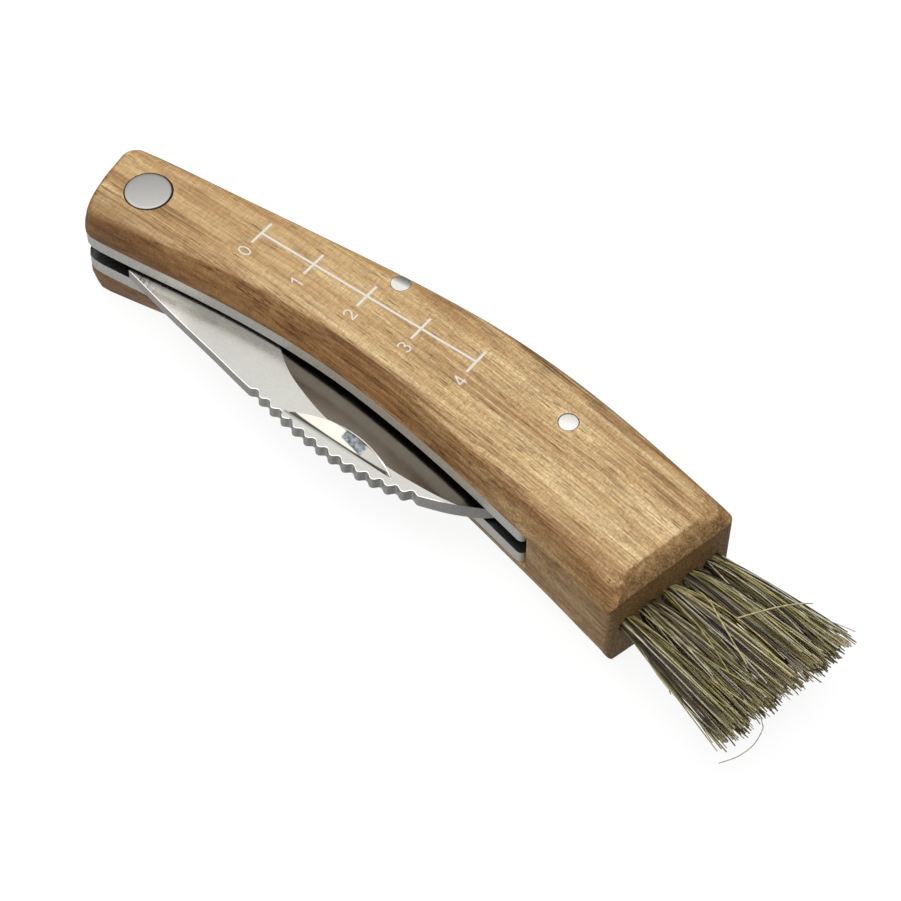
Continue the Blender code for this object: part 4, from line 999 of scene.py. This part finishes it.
def blade_steel():
    """Satin flats with a painted reflection near the root, a hollow grind with a painted brown reflection, ground side
    walls with painted shade on the tang's, a painted highlight on the back's break, a nail nick with painted shade,
    highlight and reflection, and a smudged root.
    """
    g = Graph("blade_steel")
    x, y, z = g.split(g.at)
    u, v = g.math("ADD", x, U0), g.math("ADD", y, V0)
    normal = g.tree.nodes.new("ShaderNodeNewGeometry").outputs["True Normal"]
    tilt = g.math("ABSOLUTE", g.split(normal)[2])
    lines = g.noise(g.join(g.math("MULTIPLY", u, 1.2), g.math("MULTIPLY", v, 9.0), g.math("MULTIPLY", z, 9.0)), 1.0, 3.0, 0.65)
    cloud = g.noise(g.at, 0.35, 2.0, 0.5)
    tint = g.mix(g.remap(lines, 0.3, 0.7, 0.0, 1.0), (0.365, 0.36, 0.335), (0.43, 0.425, 0.40))
    # painted reflection: the base colour is paler near the root, a little away from the handle, to brighten where the
    # handle's wall is mirrored
    near = g.math("MULTIPLY_ADD", g.math("MULTIPLY", g.math("ADD", u, 8.0), g.math("ADD", u, 8.0)), 0.0028, g.math("ADD", v, 10.4))
    light = g.math("MULTIPLY", g.remap(near, -0.5, -1.6, 0.0, 1.0, smooth=True), g.remap(u, -20.0, -30.0, 0.0, 1.0, smooth=True))
    tint = g.mix(light, tint, (0.78, 0.77, 0.72))
    d, c = g.cells(g.at, 1.3)
    speck = g.math("MULTIPLY", g.remap(d, 0.13, 0.06, 0.0, 0.3), g.math("GREATER_THAN", g.split(c)[0], 0.6))
    tint = g.mix(speck, tint, (0.2, 0.2, 0.19))
    rough = g.math("ADD", g.remap(lines, 0.3, 0.7, 0.23, 0.29), g.remap(cloud, 0.3, 0.7, -0.02, 0.03))
    # hollow grind, with the marks of the wheel across it; its darker brownish base colour is a painted reflection of
    # the wooden wall beside it
    marks = g.noise(g.join(g.math("MULTIPLY", u, 5.0), g.math("MULTIPLY", v, 0.4), 0.0), 1.0, 2.0, 0.6)
    hollow = g.math("MULTIPLY", g.remap(tilt, 0.9999, 0.9992, 0.0, 1.0), g.remap(tilt, 0.9, 0.95, 0.0, 1.0))
    # the narrow break along the back, which gets a painted highlight below
    broken = g.math("MULTIPLY", g.remap(tilt, 0.940, 0.948, 0.0, 1.0), g.remap(tilt, 0.960, 0.966, 1.0, 0.0))
    broken = g.math("MULTIPLY", broken, g.math("MULTIPLY", g.math("LESS_THAN", u, 28.6), g.math(
        "LESS_THAN", v, g.math("MAXIMUM", g.math("MULTIPLY_ADD", u, -0.208, -19.2), -16.9))))
    beyond = g.math("MULTIPLY", g.math("GREATER_THAN", u, -0.5), g.math("GREATER_THAN", v, -19.7))
    broken = g.math("MULTIPLY", broken, g.math("SUBTRACT", 1.0, g.math("MULTIPLY", beyond, g.math("LESS_THAN", u, 20.4))))
    hollow = g.math("MULTIPLY", hollow, g.math("SUBTRACT", 1.0, broken))
    tint = g.mix(hollow, tint, g.mix(g.remap(marks, 0.3, 0.7, 0.0, 1.0), (0.20, 0.178, 0.145), (0.235, 0.212, 0.178)))
    rough = g.math("MULTIPLY_ADD", hollow, -0.06, rough)
    # nail nick: painted shade on its straight wall and beside it, a bright floor, a painted highlight along its arc,
    # and a painted reflection on the floor: a bluish patch and a greyer end
    t = g.remap(u, NICK_START[0], NICK_END[0], 0.0, 1.0)
    bulge = g.math("MULTIPLY", g.math("POWER", g.math("SINE", g.math("MULTIPLY", t, pi)), 0.8), NICK_BULGE)
    off = g.math("ADD", v, g.math("MULTIPLY_ADD", u, 0.0155, 18.895))
    inside = g.math("MULTIPLY", g.math("GREATER_THAN", off, 0.0), g.math("LESS_THAN", off, g.math("SUBTRACT", bulge, 0.06)))
    inside = g.math("MULTIPLY", inside, g.math("GREATER_THAN", z, Z_MID))
    floor_tint = g.mix(cloud, (0.40, 0.385, 0.345), (0.50, 0.48, 0.43))
    blotch = g.noise(g.at, 1.6, 4.0, 0.7)
    ragged = g.math("MULTIPLY_ADD", g.math("SUBTRACT", blotch, 0.5), 0.5, off)
    above = g.remap(g.math("ADD", ragged, g.math("MULTIPLY", g.math("SUBTRACT", u, 9.2), 0.24)), 1.45, 1.6, 0.0, 1.0)
    dull = g.math("MULTIPLY", above, g.remap(g.math("MULTIPLY_ADD", g.math("SUBTRACT", blotch, 0.5), 0.8, u), 8.95, 9.2, 0.0, 1.0))
    # painted reflection on the nick's floor: a bluish patch, then a greyer end
    bluish_reflection = g.mix(g.remap(blotch, 0.42, 0.6, 0.0, 1.0), (0.06, 0.075, 0.092), (0.185, 0.195, 0.20))
    grey_reflection = g.mix(g.remap(g.math("MULTIPLY_ADD", g.math("SUBTRACT", blotch, 0.5), 1.2, u), 12.9, 13.5, 0.0, 1.0), bluish_reflection, (0.31, 0.30, 0.275))
    floor_tint = g.mix(dull, floor_tint, grey_reflection)
    # painted shade on the nick's straight wall
    nick_wall_shade = g.remap(off, 0.68, 0.56, 0.0, 1.0)
    nick_wall_shade = g.math("MULTIPLY", nick_wall_shade, g.remap(t, 0.92, 0.98, 1.0, 0.0))
    floor_tint = g.mix(nick_wall_shade, floor_tint, (0.05, 0.046, 0.04))
    # painted highlight along the rim of the nick's arc
    rim = g.math("MULTIPLY", g.math("GREATER_THAN", off, g.math("SUBTRACT", bulge, 0.26)), g.remap(t, 0.3, 0.5, 0.0, 1.0))
    floor_tint = g.mix(rim, floor_tint, (0.95, 0.92, 0.86))
    tint = g.mix(inside, tint, floor_tint)
    # painted shade in a band beside the nick's straight side
    beside = g.math("MULTIPLY", g.remap(off, -0.5, -0.1, 0.0, 1.0), g.math("LESS_THAN", off, 0.05))
    beside = g.math("MULTIPLY", beside, g.math("MULTIPLY", g.remap(u, -0.6, 0.0, 0.0, 1.0), g.remap(u, 2.0, 18.0, 0.75, 0.0)))
    tint = g.mix(g.math("MULTIPLY", beside, g.math("GREATER_THAN", z, Z_MID)), tint, (0.12, 0.12, 0.115))
    # smudges where the root was ground by hand
    smear = g.noise(g.join(g.math("MULTIPLY_ADD", v, 0.5, g.math("MULTIPLY", u, 0.9)), g.math("MULTIPLY", g.math("SUBTRACT", v, u), 0.25), 0.0), 1.0, 3.0, 0.6)
    root = g.math("MULTIPLY", g.remap(u, -28.0, -33.0, 0.0, 1.0, smooth=True), g.remap(smear, 0.46, 0.56, 0.0, 0.75, smooth=True))
    tint = g.mix(root, tint, (0.10, 0.098, 0.085))
    # cut side walls; the tang's walls inside the slot are painted black and less metallic: painted shade
    wall = g.remap(tilt, 0.8, 0.5, 0.0, 1.0)
    grit = g.noise(g.join(g.math("MULTIPLY", u, 7.0), g.math("MULTIPLY", v, 7.0), g.math("MULTIPLY", z, 2.0)), 1.0, 3.0, 0.7)
    tint = g.mix(wall, tint, g.mix(g.remap(grit, 0.3, 0.7, 0.0, 1.0), (0.46, 0.455, 0.44), (0.66, 0.65, 0.63)))
    tang = g.math("MULTIPLY", wall, g.remap(u, -36.25, -36.6, 0.0, 1.0))
    tint = g.mix(tang, tint, (0.035, 0.034, 0.032))
    rough = g.math("ADD", g.math("MULTIPLY_ADD", wall, 0.1, rough), g.math("MULTIPLY", tang, 0.2))
    # painted highlight: the narrow break along the back gets a pale base colour so that it shows as a bright line
    tint = g.mix(broken, tint, (0.72, 0.71, 0.69))
    g.bump(lines, 0.0000015, 0.6)
    return g.set(Base_Color=tint, Roughness=rough, Metallic=g.math("MULTIPLY_ADD", tang, -0.9, 1.0))


WOOD = wood()
BLADE_STEEL = blade_steel()
# the liners' faces are kept dark: painted shade for the slot between them, where these faces show; their cut side walls
# are lighter
LINER_STEEL = steel("liner_steel", (0.24, 0.24, 0.235), 0.3, 0.4, (2.0, 2.0, 2.0), 0.000004, side=(0.80, 0.79, 0.75))
SPRING_STEEL = steel("spring_steel", (0.42, 0.41, 0.40), 0.32, 0.45, (1.0, 6.0, 6.0), 0.000006)
RIVET_STEEL = steel("rivet_steel", (0.32, 0.315, 0.305), 0.17, 0.22, (6.0, 6.0, 1.0), 0.000001)
PIN_STEEL = steel("pin_steel", (0.56, 0.56, 0.54), 0.24, 0.32, (8.0, 3.0, 3.0), 0.000003)
BRONZE = steel("bronze_washer", (0.55, 0.36, 0.17), 0.3, 0.42, (3.0, 3.0, 3.0), 0.000004)
WIRE = steel("staple_wire", (0.50, 0.40, 0.24), 0.3, 0.42, (3.0, 3.0, 3.0), 0.000004)


def ink_paint():
    g = Graph("white_ink")
    worn = g.noise(g.at, 4.0, 3.0, 0.6)
    colour = g.ramp(worn, ((0.35, linear(222, 217, 206)), (0.55, linear(240, 238, 232)), (0.8, linear(247, 246, 242))))
    return g.set(Base_Color=colour, Roughness=g.remap(worn, 0.3, 0.7, 0.45, 0.6))


def bristle(name, dark, light, rough):
    g = Graph(name)
    x, y, z = g.split(g.at)
    fine = g.noise(g.join(g.math("MULTIPLY", x, 0.35), g.math("MULTIPLY", y, 2.2), g.math("MULTIPLY", z, 2.2)), 1.0, 3.0, 0.6)
    colour = g.ramp(fine, ((0.3, linear(*dark)), (0.7, linear(*light))))
    far_end = g.vector("DOT_PRODUCT", g.at, (BUTT_N[0], BUTT_N[1], 0.0))
    far_end = g.math("ADD", far_end, U0 * BUTT_N[0] + V0 * BUTT_N[1] - BUTT)
    # paler tips: partly the hairs' own cut ends, partly painted light where the tips face away from the light
    colour = g.mix(g.remap(far_end, TUFT_LENGTH - 3.0, TUFT_LENGTH + 0.3, 0.0, 0.4), colour, linear(196, 182, 140))
    return g.set(Base_Color=colour, Roughness=g.remap(fine, 0.3, 0.7, rough, rough + 0.12))


BRISTLES = (
    bristle("bristle_straw", (160, 148, 92), (228, 216, 152), 0.42),
    bristle("bristle_black", (22, 19, 18), (54, 46, 42), 0.46),
    bristle("bristle_grey", (158, 153, 130), (232, 227, 202), 0.42),
    bristle("bristle_brown", (64, 48, 34), (118, 92, 60), 0.46),
    bristle("bristle_khaki", (124, 115, 66), (188, 178, 112), 0.36),
    bristle("bristle_olive", (76, 71, 48), (136, 128, 86), 0.38),
)


def dress(obj, *materials):
    for m in materials:
        obj.data.materials.append(m)


def soften(node, width):
    """Small rounded edges on a CAD node that stays."""
    weld = node.modifiers.new("weld", "WELD")
    weld.merge_threshold = 0.000001
    bevel = node.modifiers.new("bevel", "BEVEL")
    bevel.width, bevel.segments, bevel.limit_method, bevel.angle_limit = width * MM, 2, "ANGLE", radians(35)
    bevel.harden_normals = False
    node.modifiers.new("weighted", "WEIGHTED_NORMAL").keep_sharp = True


for name, made, width in (
    ("upper_liner", LINER_STEEL, 0.1), ("lower_liner", LINER_STEEL, 0.1), ("backspring", SPRING_STEEL, 0.08),
    ("upper_washer", BRONZE, 0.05), ("lower_washer", BRONZE, 0.05),
    *((f"staple_{i}", WIRE, 0.0) for i in range(1, 6)),
):
    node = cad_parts[name]
    for slot in node.material_slots:
        slot.material = made
    if width:
        soften(node, width)
dress(handle, WOOD)
dress(blade, BLADE_STEEL)
dress(scale, ink_paint())
for tuft in tufts:
    dress(tuft, *BRISTLES)
dress(rivet_top, RIVET_STEEL)
dress(rivet_low, RIVET_STEEL)
dress(end_pin, PIN_STEEL)
dress(mid_pin, PIN_STEEL)

# ---------------------------------------------------------------- floor and light
bm = bmesh.new()
bmesh.ops.create_grid(bm, x_segments=2, y_segments=2, size=3.0)
floor_mesh = bpy.data.meshes.new("floor")
bm.to_mesh(floor_mesh)
bm.free()
floor = bpy.data.objects.new("floor", floor_mesh)
bpy.context.scene.collection.objects.link(floor)
floor.location.z = -0.00005
paper = Graph("paper")
paper.set(Base_Color=(0.16, 0.16, 0.16), Roughness=0.9, Specular_IOR_Level=0.0)
paper.set(Emission_Color=(1.0, 1.0, 1.0), Emission_Strength=0.9)
floor.data.materials.append(paper.material)
floor.visible_diffuse = False
floor.visible_glossy = False

# one wide soft box overhead, a little to the pivot's side, fading towards the horizon
world = bpy.data.worlds.new("studio")
bpy.context.scene.world = world
world.use_nodes = True
tree = world.node_tree
background = tree.nodes["Background"]
coordinates = tree.nodes.new("ShaderNodeTexCoord")
dot = tree.nodes.new("ShaderNodeVectorMath")
dot.operation = "DOT_PRODUCT"
tree.links.new(coordinates.outputs["Generated"], dot.inputs[0])
dot.inputs[1].default_value = Vector((-0.22, 0.08, 0.97)).normalized()
half_up = tree.nodes.new("ShaderNodeMath")
half_up.operation = "MULTIPLY_ADD"
half_up.inputs[1].default_value, half_up.inputs[2].default_value = 0.5, 0.5
tree.links.new(dot.outputs["Value"], half_up.inputs[0])
ramp = tree.nodes.new("ShaderNodeValToRGB")
STOPS = ((-1.0, 0.46), (-0.25, 0.44), (0.0, 0.2), (0.3, 0.24), (0.5, 0.36), (0.67, 0.55), (0.81, 0.95), (0.90, 1.9), (0.95, 2.3), (1.0, 2.35))
while len(ramp.color_ramp.elements) < len(STOPS):
    ramp.color_ramp.elements.new(0.5)
for element, (at, level) in zip(ramp.color_ramp.elements, STOPS):
    element.position = at * 0.5 + 0.5
    element.color = (level / 2.4, level / 2.4 * 0.997, level / 2.4 * 0.985, 1.0)
tree.links.new(half_up.outputs[0], ramp.inputs[0])
split = tree.nodes.new("ShaderNodeSeparateXYZ")
tree.links.new(coordinates.outputs["Generated"], split.inputs[0])


def world_range(value, a, b, c, d):
    n = tree.nodes.new("ShaderNodeMapRange")
    n.interpolation_type = "SMOOTHSTEP"
    tree.links.new(value, n.inputs[0])
    for socket, v in zip(list(n.inputs)[1:5], (a, b, c, d)):
        socket.default_value = v
    return n.outputs[0]


def world_math(operation, a, b):
    n = tree.nodes.new("ShaderNodeMath")
    n.operation = operation
    for socket, v in zip(n.inputs, (a, b)):
        if isinstance(v, float):
            socket.default_value = v
        else:
            tree.links.new(v, socket)
    return n.outputs[0]


# low down the light is weaker on the butt's side, and one narrow strip in front draws the metal's edges
shade = world_math("MULTIPLY", world_range(split.outputs[0], -0.1, 0.5, 0.0, 0.42), world_range(split.outputs[2], 0.05, -0.2, 0.0, 1.0))
beam = tree.nodes.new("ShaderNodeVectorMath")
beam.operation = "DOT_PRODUCT"
tree.links.new(coordinates.outputs["Generated"], beam.inputs[0])
beam.inputs[1].default_value = Vector((-0.36, -0.80, 0.46)).normalized()
strip = world_range(beam.outputs["Value"], 0.975, 0.995, 0.0, 2.2)
strength = world_math("ADD", world_math("MULTIPLY", world_math("SUBTRACT", 1.0, shade), 2.4), world_math("MULTIPLY", strip, 2.4))
# metal seen from the other sides mirrors a wall of light there
around = tree.nodes.new("ShaderNodeVectorMath")
around.operation = "DOT_PRODUCT"
tree.links.new(coordinates.outputs["Generated"], around.inputs[0])
around.inputs[1].default_value = (-0.608, 0.794, 0.0)
fill = world_math("MULTIPLY", world_range(around.outputs["Value"], 0.20, -0.20, 0.0, 4.0), world_range(split.outputs[2], 0.1, 0.35, 0.0, 1.0))
fill = world_math("MULTIPLY", fill, world_range(split.outputs[2], 0.66, 0.54, 0.0, 1.0))
fill = world_math("MULTIPLY", fill, tree.nodes.new("ShaderNodeLightPath").outputs["Is Glossy Ray"])
strength = world_math("ADD", strength, fill)
tree.links.new(ramp.outputs["Color"], background.inputs["Color"])
tree.links.new(strength, background.inputs["Strength"])
